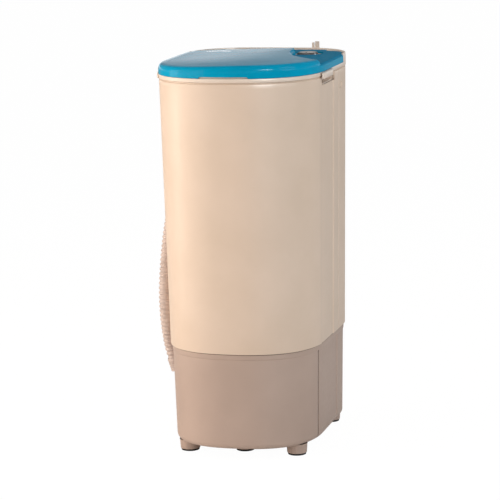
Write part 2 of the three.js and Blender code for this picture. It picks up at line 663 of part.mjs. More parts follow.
function grip(side) {
  const face = HALF_WIDTH + DECK_OVERHANG + CLEAR;
  const reach = HALF_WIDTH + GRIP.reach;
  const nose = new THREE.Shape();
  nose.moveTo(face, GRIP.front);
  nose.quadraticCurveTo(reach, GRIP.front + 4, reach, GRIP.front + 18);
  nose.lineTo(reach, GRIP.rear - 18);
  nose.quadraticCurveTo(reach, GRIP.rear - 4, face, GRIP.rear);
  nose.closePath();
  const bevel = 0.8;
  const lipGeometry = new THREE.ExtrudeGeometry(nose, {
    depth: LID_SEAT - 0.8 - GRIP_BOTTOM - 2 * bevel,
    bevelEnabled: true, bevelSize: bevel, bevelThickness: bevel, bevelOffset: -bevel, bevelSegments: 2,
    curveSegments: 6,
  });
  lipGeometry.translate(0, 0, GRIP_BOTTOM + bevel);
  const inner = HALF_WIDTH - BODY_WALL - POCKET.depth;
  const lip = solid(lipGeometry);
  const web = box([inner, face + 3], [POCKET.front, Math.min(POCKET.rear, GRIP.rear - 6)],
    [GRIP_BOTTOM, GRIP_BOTTOM + GRIP.web]);
  const pocketTop = GRIP_BOTTOM + GRIP.web;
  const liner = cut(
    box([inner, HALF_WIDTH - BODY_WALL - bodyInset(POCKET_BOTTOM) - CLEAR],
      [POCKET.front, POCKET.rear], [POCKET_BOTTOM, pocketTop]),
    box([inner + POCKET.wall, HALF_WIDTH + 20], [POCKET.front + POCKET.wall, POCKET.rear - POCKET.wall],
      [POCKET_BOTTOM + POCKET.wall, GRIP_BOTTOM]),
  );
  const whole = join(lip, web, liner);
  return side > 0 ? whole : whole.mirror([1, 0, 0]);
}

// ---------------------------------------------------------------- timer and lid switch

function timerKnob() {
  const skirtTop = KNOB_BASE + KNOB.skirtHeight;
  const body = turned([
    [0, KNOB_BASE], [KNOB.skirt, KNOB_BASE], [KNOB.skirt, skirtTop - 1], [KNOB.radius + 0.6, skirtTop],
    [KNOB.radius - 1.2, KNOB_TOP - 1.5], [KNOB.radius - 3, KNOB_TOP], [0, KNOB_TOP],
  ], 24, TIMER.x, TIMER_Y);
  const flutes = [];
  for (let i = 0; i < KNOB.ribs; i += 1) {
    const angle = (2 * Math.PI * i) / KNOB.ribs;
    const x = TIMER.x + (KNOB.radius + 1) * Math.cos(angle);
    const y = TIMER_Y + (KNOB.radius + 1) * Math.sin(angle);
    flutes.push(post(x, y, [skirtTop + 0.5, KNOB_TOP + 1], 1.9, 6));
  }
  const pointer = box([TIMER.x - 1, TIMER.x + 1], [TIMER_Y - KNOB.radius + 3, TIMER_Y - 4],
    [KNOB_TOP - 0.6, KNOB_TOP + 1]);
  const socket = post(TIMER.x, TIMER_Y, [KNOB_BASE - THROUGH, KNOB_TOP - KNOB.cap],
    TIMER.shaft + CLEAR, 16);
  return cut(body, ...flutes, pointer, socket);
}

function timerBody() {
  const half = TIMER.body / 2;
  const top = DECK_BOTTOM - CLEAR;
  const bottom = top - TIMER.depth;
  const shell = box([TIMER.x - half, TIMER.x + half], [TIMER_Y - half, TIMER_Y + half], [bottom, top]);
  const well = post(TIMER.x, TIMER_Y, [top - TIMER.well - CLEAR, top + THROUGH], TIMER.shaft + CLEAR, 16);
  const terminals = [-12, -4, 4, 12].map((step) => (
    box([TIMER.x + step - 1, TIMER.x + step + 1], [TIMER_Y - 4, TIMER_Y + 4], [bottom - 8, bottom + THROUGH])
  ));
  return join(cut(shell, well), ...terminals);
}

function timerShaft() {
  const z = [DECK_BOTTOM - CLEAR - TIMER.well, KNOB_TOP - KNOB.cap - CLEAR];
  return post(TIMER.x, TIMER_Y, z, TIMER.shaft, 16);
}

function lidSwitch() {
  const [halfX, halfY] = [SWITCH.length / 2, SWITCH.width / 2];
  const top = DECK_BOTTOM - CLEAR;
  const shell = box([SWITCH.x - halfX, SWITCH.x + halfX], [SWITCH.y - halfY, SWITCH.y + halfY],
    [top - SWITCH.depth, top]);
  const well = [top - SWITCH.well - CLEAR, top + THROUGH];
  return cut(shell, post(SWITCH.x, SWITCH.y, well, SWITCH.plunger + CLEAR, 16));
}

function switchPlunger() {
  const bottom = DECK_BOTTOM - CLEAR - SWITCH.well + SWITCH.travel;
  return post(SWITCH.x, SWITCH.y, [bottom, LID_SEAT - CLEAR], SWITCH.plunger, 16);
}

// ---------------------------------------------------------------- tub, seal and basket

function outerTub() {
  const { wall, floor, neck, neckRise, flange } = TUB;
  const radius = TUB_RADIUS;
  const body = turned([
    [neck, floor], [radius - 6, floor],
    [radius, floor + 6], [radius, TUB_TOP - wall],
    [radius + flange, TUB_TOP - wall], [radius + flange, TUB_TOP],
    [radius - wall, TUB_TOP], [radius - wall, floor + 8], [radius - 8, floor + wall],
    [neck + wall, floor + wall], [neck + wall, floor + neckRise], [neck, floor + neckRise],
  ], TUB.segments);
  const drain = post(DRAIN_X, DRAIN_Y, [floor - 2, floor + 8], DRAIN.pipe + CLEAR, 20);
  return cut(body, drain);
}

function shaftSeal() {
  const { neck, wall, floor, neckRise } = TUB;
  const inner = BEARING_RADIUS + SEAL.inner;
  const foot = floor + neckRise + CLEAR;
  return turned([
    [inner, foot + 2], [neck - 3, foot], [neck + wall, foot], [neck + wall, foot + SEAL.wall],
    [neck - 3, foot + SEAL.wall], [inner + SEAL.wall, foot + SEAL.height], [inner, foot + SEAL.height],
  ], 16);
}

function spinBasket() {
  const { wall, lip } = BASKET;
  const radius = BASKET_RADIUS;
  const bottom = BASKET_BOTTOM;
  const top = BASKET_TOP;
  const body = turned([
    [HUB.radius, bottom], [radius - 10, bottom], [radius, bottom + 10], [radius, top], [radius - lip, top],
    [radius - lip, top - wall], [radius - wall, top - wall], [radius - wall, bottom + 10.6],
    [radius - 10.6, bottom + wall], [HUB.radius, bottom + wall],
  ], BASKET.segments);
  const drills = [];
  for (let row = 0; row < HOLES.rows; row += 1) {
    const z = bottom + ((row + 0.75) * (top - bottom)) / (HOLES.rows + 0.5);
    for (let column = 0; column < HOLES.columns; column += 1) {
      const angle = (2 * Math.PI * (column + (row % 2) / 2)) / HOLES.columns;
      const geometry = new THREE.CylinderGeometry(HOLES.radius, HOLES.radius, 24, 6);
      geometry.rotateZ(Math.PI / 2);
      geometry.translate(radius, 0, z);
      geometry.rotateZ(angle);
      drills.push(solid(geometry));
    }
  }
  return cut(body, ...drills);
}

function basketHub() {
  const bottom = BASKET_BOTTOM;
  const sleeve = SHAFT_RADIUS + CLEAR;
  return turned([
    [sleeve, bottom - 2], [HUB.radius + 14, bottom - 2 - CLEAR], [HUB.radius + 14, bottom - CLEAR],
    [HUB.radius - CLEAR, bottom - CLEAR], [HUB.radius - CLEAR, bottom + BASKET.wall],
    [HUB.radius - 8, bottom + HUB.height], [sleeve, bottom + HUB.height],
  ], 20);
}

function hubNut() {
  const z = [BASKET_BOTTOM + HUB.height + CLEAR, BASKET_BOTTOM + HUB.height + CLEAR + NUT.height];
  return cut(post(0, 0, z, NUT.radius, 6), post(0, 0, [z[0] - 1, z[1] + 1], SHAFT_RADIUS + CLEAR, 20));
}

function balanceRing() {
  const outer = BASKET_RADIUS;
  const bottom = BASKET_TOP + CLEAR;
  return turned([
    [outer - BALANCE.width, bottom], [outer, bottom], [outer, bottom + BALANCE.height - 4],
    [outer - 4, bottom + BALANCE.height], [outer - BALANCE.width + 3, bottom + BALANCE.height],
    [outer - BALANCE.width, bottom + BALANCE.height - 3],
  ], 32);
}

// ---------------------------------------------------------------- drive

const MOTOR_TOP = MOTOR.bottom + MOTOR.height;
const PLATE_BOTTOM = MOTOR_TOP + CLEAR;
const PLATE_TOP = PLATE_BOTTOM + PLATE.thickness;
const DRUM_BOTTOM = PLATE_TOP + BRAKE.gap;

function driveShaft() {
  return post(0, 0, [MOTOR_TOP - SHAFT_DEPTH, BASKET_BOTTOM + HUB.height + NUT.height + 8], SHAFT_RADIUS, 20);
}

function motorHousing() {
  const { radius, bottom, fins } = MOTOR;
  const profile = [[0, bottom + MOTOR.cap + CLEAR], [radius, bottom + MOTOR.cap + CLEAR]];
  const span = MOTOR.height - MOTOR.cap - 16;
  for (let i = 0; i < fins; i += 1) {
    const z = bottom + MOTOR.cap + 6 + (i * span) / fins;
    const end = z + span / fins;
    profile.push([radius, z], [radius - 3, z + 2], [radius - 3, end - 3], [radius, end - 1]);
  }
  profile.push([radius, MOTOR_TOP - 4], [radius - 8, MOTOR_TOP], [0, MOTOR_TOP]);
  const z = [MOTOR_TOP - SHAFT_DEPTH - THROUGH, MOTOR_TOP + THROUGH];
  return cut(turned(profile, 16), post(0, 0, z, SHAFT_RADIUS + CLEAR, 20));
}

function motorEndCap() {
  const { radius, bottom, cap } = MOTOR;
  const body = turned([
    [0, bottom], [radius - 12, bottom], [radius, bottom + 6], [radius, bottom + cap], [0, bottom + cap],
  ], 16);
  const slots = [0, 1, 2, 3, 4, 5].map((i) => {
    const geometry = new THREE.BoxGeometry(SLOT_LENGTH, 5, 5);
    geometry.translate(radius - SLOT_LENGTH - 4, 0, bottom);
    geometry.rotateZ((i * Math.PI) / 3);
    return solid(geometry);
  });
  return cut(body, ...slots);
}

function mountPlate() {
  const disc = post(0, 0, [PLATE_BOTTOM, PLATE_TOP], PLATE.radius, 24);
  const studs = springPlaces().map(([x, y]) => post(x, y, [PLATE_BOTTOM - 9, PLATE_BOTTOM + 1],
    SPRINGS.mean - SPRINGS.wire - 1.2, 8));
  const slots = [0, 1, 2].map((i) => {
    const angle = -Math.PI / 2 + (i * 2 * Math.PI) / 3;
    const [x, y] = [PLATE.slotPlace * Math.cos(angle), PLATE.slotPlace * Math.sin(angle)];
    return post(x, y, [0, WIDE], PLATE.slot, 10);
  });
  return cut(join(disc, ...studs), ...slots, post(0, 0, [0, WIDE], SHAFT_RADIUS + 2, 20));
}

function brakeDrum() {
  const { radius, height, wall, web } = BRAKE;
  const sleeve = SHAFT_RADIUS + CLEAR;
  const bottom = DRUM_BOTTOM;
  return turned([
    [sleeve, bottom], [BEARING_RADIUS, bottom], [BEARING_RADIUS, bottom + height - web],
    [radius - wall, bottom + height - web], [radius - wall, bottom], [radius, bottom],
    [radius, bottom + height], [BEARING_RADIUS, bottom + height], [BEARING_RADIUS, BASKET_BOTTOM - 3],
    [sleeve, BASKET_BOTTOM - 3],
  ], 16);
}

const LEVER_BOTTOM = DRUM_BOTTOM + LEVER.rise;
const LEVER_TOP = LEVER_BOTTOM + LEVER.thickness;

function brakeLever() {
  const z = [LEVER_BOTTOM, LEVER_TOP];
  const hub = post(LEVER.pivotX, LEVER.pivotY, [PLATE_TOP + CLEAR, LEVER_TOP + 3], LEVER.hub, 18);
  const arm = box([LEVER.pivotX - LEVER.width / 2, LEVER.pivotX + LEVER.width / 2],
    [LEVER.pivotY, LEVER.pivotY + LEVER.length], z);
  const eye = post(LEVER.pivotX, LEVER.pivotY + LEVER.length, z, LEVER.eye, 16);
  const bore = post(LEVER.pivotX, LEVER.pivotY, [0, WIDE], LEVER.pin + CLEAR, 16);
  const cableHole = post(LEVER.pivotX, LEVER.pivotY + LEVER.length, [0, WIDE], 2, 12);
  return cut(join(hub, arm, eye), bore, cableHole);
}

function leverPin() {
  return post(LEVER.pivotX, LEVER.pivotY, [PLATE_TOP + CLEAR, LEVER_TOP + 6], LEVER.pin, 16);
}

function brakePad() {
  const bottom = DRUM_BOTTOM + PAD.rise;
  const face = LEVER.pivotX - LEVER.width / 2 - CLEAR;
  const block = box([BRAKE.radius - 6, face], [PAD.front, PAD.rear], [bottom, bottom + PAD.height]);
  return cut(block, post(0, 0, [0, WIDE], BRAKE.radius + PAD.restGap, 40));
}

// ---------------------------------------------------------------- tubes along a curve

// rings of the given radii at equal steps along a curve, as a closed tube with an optional bore
function tube(curve, radii, sides, bore) {
  const frames = curve.computeFrenetFrames(radii.length - 1, false);
  const positions = [];
  const index = [];
  const ring = (step, radius) => {
    const centre = curve.getPointAt(step / (radii.length - 1));
    for (let i = 0; i < sides; i += 1) {
      const angle = (2 * Math.PI * i) / sides;
      const arm = frames.normals[step].clone().multiplyScalar(radius * Math.cos(angle));
      arm.addScaledVector(frames.binormals[step], radius * Math.sin(angle));
      positions.push(centre.x + arm.x, centre.y + arm.y, centre.z + arm.z);
    }
    return positions.length / 3 - sides;
  };
  const skin = (a, b) => {
    for (let i = 0; i < sides; i += 1) {
      const k = (i + 1) % sides;
      index.push(a + i, a + k, b + k, a + i, b + k, b + i);
    }
  };
  const outer = radii.map((radius, step) => ring(step, radius));
  for (let i = 0; i + 1 < outer.length; i += 1) skin(outer[i], outer[i + 1]);
  const chain = [];
  if (bore) {
    for (let step = radii.length - 1; step > 0; step -= bore.every) chain.push(ring(step, bore.radius));
    chain.push(ring(0, bore.radius));
  } else {
    chain.push(ring(radii.length - 1, 0.01), ring(0, 0.01));
  }
  skin(outer[outer.length - 1], chain[0]);
  if (bore) for (let i = 0; i + 1 < chain.length; i += 1) skin(chain[i], chain[i + 1]);
  else closeTip(index, chain, sides);
  skin(chain[chain.length - 1], outer[0]);
  const geometry = new THREE.BufferGeometry();
  geometry.setAttribute('position', new THREE.Float32BufferAttribute(positions, 3));
  geometry.setIndex(index);
  return geometry;
}

function closeTip(index, [end, start], sides) {
  for (let i = 1; i + 1 < sides; i += 1) {
    index.push(end, end + i, end + i + 1, start, start + i + 1, start + i);
  }
}

function routeCurve(points) {
  return new THREE.CatmullRomCurve3(points.map((point) => new THREE.Vector3(...point)), false, 'centripetal');
}

// least distance between parts of a tube that are more than a few diameters apart along it
function leastGap(curve, radius) {
  const count = 240;
  const points = curve.getSpacedPoints(count);
  const apart = Math.ceil((6 * radius * count) / curve.getLength());
  let least = Infinity;
  for (let i = 0; i < count; i += 1) {
    for (let j = i + apart; j <= count; j += 1) least = Math.min(least, points[i].distanceTo(points[j]));
  }
  return least - 2 * radius;
}

function drainHose() {
  const curve = routeCurve(HOSE_ROUTE);
  const plain = Math.ceil((2 * HOSE.ribs * CUFF.length) / curve.getLength()) + 1; // rings inside each cuff
  const radii = [];
  for (let i = 0; i <= 2 * HOSE.ribs; i += 1) {
    const isEnd = i < plain || i > 2 * HOSE.ribs - plain;
    const ribbed = i % 2 === 0 ? HOSE.outer : HOSE.root;
    radii.push(isEnd ? CUFF.outer - CUFF.wall - CLEAR : ribbed);
  }
  console.log(`drain hose: ${curve.getLength().toFixed(1)} mm long, least gap to itself `
    + `${leastGap(curve, HOSE.outer).toFixed(1)} mm`);
  return solid(tube(curve, radii, HOSE.sides, { radius: HOSE.bore, every: 2 * HOSE.boreSteps }));
}

// sleeve over the hose's straight end: runs from the end point back along the hose
function hoseCuff(end, next, from, to) {
  const direction = new THREE.Vector3(...next).sub(new THREE.Vector3(...end)).normalize();
  const geometry = new THREE.LatheGeometry([
    [CUFF.outer - CUFF.wall, 0], [CUFF.outer, 0], [CUFF.outer, to - from - 2], [CUFF.outer - 0.8, to - from],
    [CUFF.outer - CUFF.wall, to - from], [CUFF.outer - CUFF.wall, 0],
  ].map(([radius, height]) => new THREE.Vector2(radius, height)), 20);
  geometry.translate(0, from, 0);
  geometry.applyQuaternion(new THREE.Quaternion().setFromUnitVectors(new THREE.Vector3(0, 1, 0), direction));
  geometry.translate(...end);
  return solid(geometry);
}

function drainSpigot() {
  const [start, next] = HOSE_ROUTE.map((point) => new THREE.Vector3(...point));
  const back = start.clone().sub(next).normalize();
  const tip = start.clone().addScaledVector(back, CLEAR);
  const straight = tip.clone().addScaledVector(back, 12);
  const inner = [[0, 0, 0], [-3.5, 0, 0], [-8, -0.2, 2], [-12.5, -0.6, 7]];
  const path = inner.map(([x, y, z]) => [SPIGOT_X + x, SPIGOT_Y + y, SPIGOT.z + z]);
  const sleeve = (overrun, radius) => {
    const ends = [straight.toArray(), tip.clone().addScaledVector(back, -overrun).toArray()];
    const begin = overrun ? [[SPIGOT_X + overrun, SPIGOT_Y, SPIGOT.z]] : [];
    return solid(tube(routeCurve([...begin, ...path, ...ends]), new Array(9).fill(radius), 8, null));
  };
  const outside = -(HALF_WIDTH - baseInset(SPIGOT.z)) - CLEAR;
  const flange = rod([outside - 2.4, outside], SPIGOT_Y, SPIGOT.z + SPIGOT.holeRise, SPIGOT.flange, 16);
  return cut(join(sleeve(0, SPIGOT.radius), flange), sleeve(THROUGH, SPIGOT.bore));
}

function drainElbow() {
  const { turn } = DRAIN;
  const [x, y] = [DRAIN_X, DRAIN_Y];
  const low = SPIGOT.z + turn;
  const curve = routeCurve([
    [x, y, TUB.floor - 1.5], [x, y, (TUB.floor + low) / 2], [x, y, low],
    [x - 0.3 * turn, y - 0.2, SPIGOT.z + 0.3 * turn], [SPIGOT_X + 3.5, SPIGOT_Y, SPIGOT.z],
    [SPIGOT_X + CLEAR, SPIGOT_Y, SPIGOT.z],
  ]);
  return solid(tube(curve, new Array(11).fill(DRAIN.pipe), 8, { radius: DRAIN.pipe - DRAIN.wall, every: 2 }));
}

function spring(x, y) {
  const bottom = BASE_INSIDE + SPRINGS.cupFloor + CLEAR + SPRINGS.wire;
  const top = PLATE_BOTTOM - CLEAR - SPRINGS.wire;
  const points = [];
  const steps = SPRINGS.curls * SPRINGS.steps;
  for (let i = 0; i <= steps; i += 1) {
    const angle = (2 * Math.PI * i) / SPRINGS.steps;
    points.push([x + SPRINGS.mean * Math.cos(angle), y + SPRINGS.mean * Math.sin(angle),
      bottom + ((top - bottom) * i) / steps]);
  }
  return { curve: routeCurve(points), steps };
}

function suspensionSpring([x, y], number) {
  const { curve, steps } = spring(x, y);
  const radii = new Array(steps + 1).fill(SPRINGS.wire);
  const pitch = (curve.getPointAt(1).z - curve.getPointAt(0).z) / SPRINGS.curls;
  const gap = pitch - 2 * SPRINGS.wire;
  console.log(`suspension spring ${number}: least gap between its turns ${gap.toFixed(1)} mm`);
  return solid(tube(curve, radii, SPRINGS.sides, null));
}

// outer cable from the lever's eye up behind the tub to the deck beside the lid's hinge
function brakeCable() {
  const z = (LEVER_BOTTOM + LEVER_TOP) / 2;
  const eye = new THREE.Vector3(LEVER.pivotX, LEVER.pivotY + LEVER.length, z);
  const route = between(CABLE.route, z, DECK_BOTTOM - CABLE.drop);
  const away = new THREE.Vector3(...route[0]).sub(eye).setZ(0).normalize();
  const start = eye.clone().addScaledVector(away, LEVER.eye + CLEAR);
  const [x, y] = route[route.length - 1];
  const curve = routeCurve([start.toArray(), ...route, [x, y, DECK_BOTTOM - CLEAR]]);
  return solid(tube(curve, new Array(CABLE.steps).fill(CABLE.radius), 5, null));
}

// ---------------------------------------------------------------- electrics, clip, feet, screws

function capacitor() {
  const { x, radius, height } = CAPACITOR;
  const y = CAPACITOR_Y;
  const bottom = BASE_INSIDE + CAPACITOR.strap + 2 * CLEAR;
  const can = turned([
    [0, bottom], [radius - 1, bottom], [radius, bottom + 1], [radius, bottom + height - 2],
    [radius - 2, bottom + height], [0, bottom + height],
  ], 16, x, y);
  const tabs = [-5, 5].map((step) => (
    box([x + step - 3, x + step + 3], [y - 0.5, y + 0.5], [bottom + height - 1, bottom + height + 8])
  ));
  return join(can, ...tabs);
}

function capacitorClip() {
  const { x, radius, strap, strapHeight } = CAPACITOR;
  const y = CAPACITOR_Y;
  const inner = radius + CLEAR;
  const z = [BASE_INSIDE + CLEAR, BASE_INSIDE + CLEAR + strapHeight];
  const cup = turned([
    [0, z[0]], [inner + strap, z[0]], [inner + strap, z[1]], [inner, z[1]],
    [inner, z[0] + strap], [0, z[0] + strap],
  ], 16, x, y);
  return cup;
}

function cordGland() {
  const { x, radius, bore, length, flange } = GLAND;
  const z = GLAND_Z;
  const outside = REAR_DEPTH - bodyInset(z);
  const body = rodY(x, [outside - BODY_WALL - 8, outside + length], z, radius, 14);
  const collar = rodY(x, [outside + CLEAR, outside + 3], z, flange, 14);
  const rings = [6, 10].map((step) => rodY(x, [outside + step, outside + step + 2], z, radius + 0.8, 14));
  const through = [outside - length - BODY_WALL, outside + length + THROUGH];
  return cut(join(body, collar, ...rings), rodY(x, through, z, bore, 10));
}

const HOSE_END = HOSE_ROUTE[HOSE_ROUTE.length - 1];

function hoseClip() {
  const [x, y] = HOSE_END;
  const back = REAR_DEPTH + DECK_OVERHANG + CLEAR;
  const plateZ = [REAR_WALL_TOP - CLIP.height, REAR_WALL_TOP - 1];
  const plate = box([x - CLIP.width / 2, x + CLIP.width / 2], [back, back + CLIP.plate], plateZ);
  const jawRadius = CUFF.outer + CLEAR + CLIP.jaw;
  const jawZ = [plateZ[0] + 2, plateZ[0] + 16];
  const jaw = cut(
    post(x, y, jawZ, jawRadius, 28),
    box([x - WIDE, x + WIDE], [y + CLIP.jawReach, WIDE], [0, WIDE * 2]),
    box([x - WIDE, x + WIDE], [0, back], [0, WIDE * 2]),
  );
  const hole = post(x, y, [plateZ[0] - THROUGH, REAR_WALL_TOP + CLIP.prongRise], CUFF.outer + CLEAR, 28);
  const left = x - (CLIP.narrow + CLIP.slot + CLIP.wide) / 2;
  const prongY = [back, back + CLIP.plate];
  const prongs = [
    box([left, left + CLIP.narrow], prongY, [plateZ[1] - 1, REAR_WALL_TOP + CLIP.prongRise - CLIP.prongStep]),
    box([left + CLIP.narrow + CLIP.slot, left + CLIP.narrow + CLIP.slot + CLIP.wide], prongY,
      [plateZ[1] - 1, REAR_WALL_TOP + CLIP.prongRise]),
  ];
  return join(cut(join(plate, jaw), hole), ...prongs);
}

const FRONT_REACH = FRONT_DEPTH + LID_OVERHANG;
const REAR_REACH = HOSE_END[1] + CLIP.jawReach;

function foot([x, y]) {
  const shank = turned([
    [0, FOOT.pad + CLEAR], [FOOT.radius - FOOT.taper, FOOT.pad + CLEAR], [FOOT.radius, FOOT_HEIGHT - CLEAR],
    [FOOT.peg, FOOT_HEIGHT - CLEAR], [FOOT.peg, BASE_INSIDE + FOOT.pegRise], [0, BASE_INSIDE + FOOT.pegRise],
  ], FOOT.segments, x, y);
  return shank;
}

function footPad([x, y]) {
  const radius = FOOT.radius - FOOT.taper - FOOT.padInset;
  return turned([
    [0, 0], [radius - 0.8, 0], [radius, 0.8], [radius, FOOT.pad], [0, FOOT.pad],
  ], FOOT.segments, x, y);
}

function rearScrew({ x, y, z }) {
  const outside = y + SCREW.seat;
  const head = rodY(x, [outside, outside + SCREW.head], z, SCREW.radius, 12);
  const shank = rodY(x, [outside - SCREW.depth, outside + 0.5], z, SCREW.shank, 10);
  return join(head, shank);
}

// ---------------------------------------------------------------- the machine

const CREAM = [0xe6d2c0, 0.42, 0];
const TAUPE = [0xb39a88, 0.45, 0];
const BLUE = [0x0a93c0, 0.12, 0];
const DARK = [0x6f6a64, 0.5, 0];
const WHITE = [0xe9e7e2, 0.45, 0];
const HOSE_GREY = [0xd3c3b8, 0.6, 0];
const RUBBER = [0x2b2a29, 0.85, 0];
const STEEL = [0xb9bcbf, 0.3, 1];
const BRIGHT = [0xd8dadc, 0.2, 1];
const CAST = [0x9da0a2, 0.5, 1];
const PAINTED = [0x3c4247, 0.5, 0.2];
const CAN = [0xd9d9d6, 0.35, 0];
const BRASS = [0xb08d4a, 0.35, 1];

const machine = new THREE.Group();

function add(name, body, [color, roughness, metalness]) {
  const material = new THREE.MeshStandardMaterial({ color, roughness, metalness });
  const mesh = new THREE.Mesh(geometryOf(body), material);
  mesh.name = name;
  machine.add(mesh);
}

add('base_shell', baseShell(), TAUPE);
add('body_shell', bodyShell(), CREAM);
add('rear_cover', rearCover(), CREAM);
add('deck', deck(), CREAM);
add('lid', lid(), BLUE);
add('lid_hinge_pin_left', hingePin(-1), STEEL);
add('lid_hinge_pin_right', hingePin(1), STEEL);
add('side_grip_left', grip(-1), CREAM);
add('side_grip_right', grip(1), CREAM);
add('timer_knob', timerKnob(), DARK);
add('timer_shaft', timerShaft(), BRASS);
add('timer_body', timerBody(), WHITE);
add('lid_switch', lidSwitch(), DARK);
add('switch_plunger', switchPlunger(), WHITE);
add('outer_tub', outerTub(), WHITE);
add('shaft_seal', shaftSeal(), RUBBER);
add('spin_basket', spinBasket(), BRIGHT);
add('balance_ring', balanceRing(), WHITE);
add('basket_hub', basketHub(), WHITE);
add('hub_nut', hubNut(), STEEL);
add('drive_shaft', driveShaft(), STEEL);
add('brake_drum', brakeDrum(), CAST);
add('brake_lever', brakeLever(), STEEL);
add('brake_lever_pin', leverPin(), STEEL);
add('brake_pad', brakePad(), RUBBER);
add('brake_cable', brakeCable(), RUBBER);
add('motor_mount_plate', mountPlate(), STEEL);
add('motor_housing', motorHousing(), PAINTED);
add('motor_end_cap', motorEndCap(), CAST);
springPlaces().forEach((place, i) => {
  add(`suspension_spring_${i + 1}`, suspensionSpring(place, i + 1), STEEL);
});
add('capacitor', capacitor(), CAN);
add('capacitor_clip', capacitorClip(), STEEL);
add('cord_gland', cordGland(), RUBBER);
add('drain_elbow', drainElbow(), HOSE_GREY);
add('drain_spigot', drainSpigot(), TAUPE);
add('drain_hose', drainHose(), HOSE_GREY);
add('hose_cuff_lower', hoseCuff(HOSE_ROUTE[0], HOSE_ROUTE[1], CLEAR, CUFF.length), HOSE_GREY);
add('hose_cuff_upper', hoseCuff(HOSE_END, HOSE_ROUTE[HOSE_ROUTE.length - 2], 0, CUFF.length), HOSE_GREY);
add('hose_clip', hoseClip(), CREAM);
for (const [place, spot] of Object.entries(FOOT_PLACES)) {
  add(`foot_${place}`, foot(spot), TAUPE);
  add(`foot_pad_${place}`, footPad(spot), RUBBER);
}
rearScrewPlaces().forEach((place, i) => add(`rear_screw_${i + 1}`, rearScrew(place), STEEL));

machine.position.y = (FRONT_REACH - REAR_REACH) / 2;

export default machine;
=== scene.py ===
# Looks of the laundry spin dryer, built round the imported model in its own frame.
# Shapes are written in millimetres about the basket's axis and turned into metres when a mesh is made.
import math

import bmesh
import bpy
from mathutils import Matrix, Vector


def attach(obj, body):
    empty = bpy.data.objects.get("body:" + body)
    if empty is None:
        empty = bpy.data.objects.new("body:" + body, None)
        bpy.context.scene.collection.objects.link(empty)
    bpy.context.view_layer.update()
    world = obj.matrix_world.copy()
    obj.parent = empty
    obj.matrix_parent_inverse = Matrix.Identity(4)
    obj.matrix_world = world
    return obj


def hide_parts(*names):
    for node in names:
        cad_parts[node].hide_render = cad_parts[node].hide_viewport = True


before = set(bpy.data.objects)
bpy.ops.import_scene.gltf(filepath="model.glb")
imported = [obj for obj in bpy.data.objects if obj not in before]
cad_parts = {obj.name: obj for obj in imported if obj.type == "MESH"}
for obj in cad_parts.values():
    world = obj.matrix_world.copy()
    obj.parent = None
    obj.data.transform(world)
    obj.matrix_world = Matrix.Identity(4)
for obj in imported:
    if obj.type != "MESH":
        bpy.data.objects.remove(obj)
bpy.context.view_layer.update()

MM = 0.001
AXIS_Y = -46.3  # the basket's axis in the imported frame, mm

# the cabinet's plan and heights, as in the solids
HALF_WIDTH, FRONT_DEPTH, REAR_DEPTH, REAR_CORNER, FRONT_POWER = 143.6, 155.9, 228.0, 93.0, 2.5
FOOT_HEIGHT, SEAM, BODY_TOP, LID_SEAT = 20.2, 187.0, 650.5, 658.0
LID_TOP, LEDGE, WALL_TOP = 679.5, 672.0, 673.0  # LEDGE is the lid's lower level
BODY_DRAFT, BASE_DRAFT, BASE_STEP = 0.0168, 0.0217, 3.6
CLEAR = 0.3
BODY_WALL = 3.2
JOINT_Y = 90.0  # where the front shell ends and the rear cover starts
HINGE_Y, HINGE_Z, HINGE_X = 196.0, 659.6, 60.0
TIMER_X, TIMER_Y = 78.0, 135.0

scene = bpy.context.scene


# ------------------------------------------------------------------ camera

def place_camera():
    """The photograph's view, as fitted to the cabinet's edges."""
    azimuth, pitch, roll, distance = 0.25352, 0.17500, -0.02207, 4.3525
    aim = Vector((0.0002, -0.04625, 0.34196))
    level = math.cos(pitch)
    back = Vector((math.sin(azimuth) * level, -math.cos(azimuth) * level, math.sin(pitch)))
    right = Vector((math.cos(azimuth), math.sin(azimuth), 0.0))
    up = back.cross(right)
    tilted_right = math.cos(roll) * right + math.sin(roll) * up
    tilted_up = -math.sin(roll) * right + math.cos(roll) * up
    camera = bpy.data.objects.new("camera", bpy.data.cameras.new("camera"))
    scene.collection.objects.link(camera)
    camera.data.lens = 180.0
    camera.data.sensor_width = 36.0
    camera.data.clip_end = 60.0
    place = Matrix.Identity(4)
    for row in range(3):
        place[row][0] = tilted_right[row]
        place[row][1] = tilted_up[row]
        place[row][2] = back[row]
        place[row][3] = (aim + back * distance)[row]
    camera.matrix_world = place
    scene.camera = camera


place_camera()


# ------------------------------------------------------------------ materials

def linear(code):
    values = []
    for i in (0, 2, 4):
        c = int(code[i:i + 2], 16) / 255
        values.append(c / 12.92 if c <= 0.04045 else ((c + 0.055) / 1.055) ** 2.4)
    return (*values, 1.0)


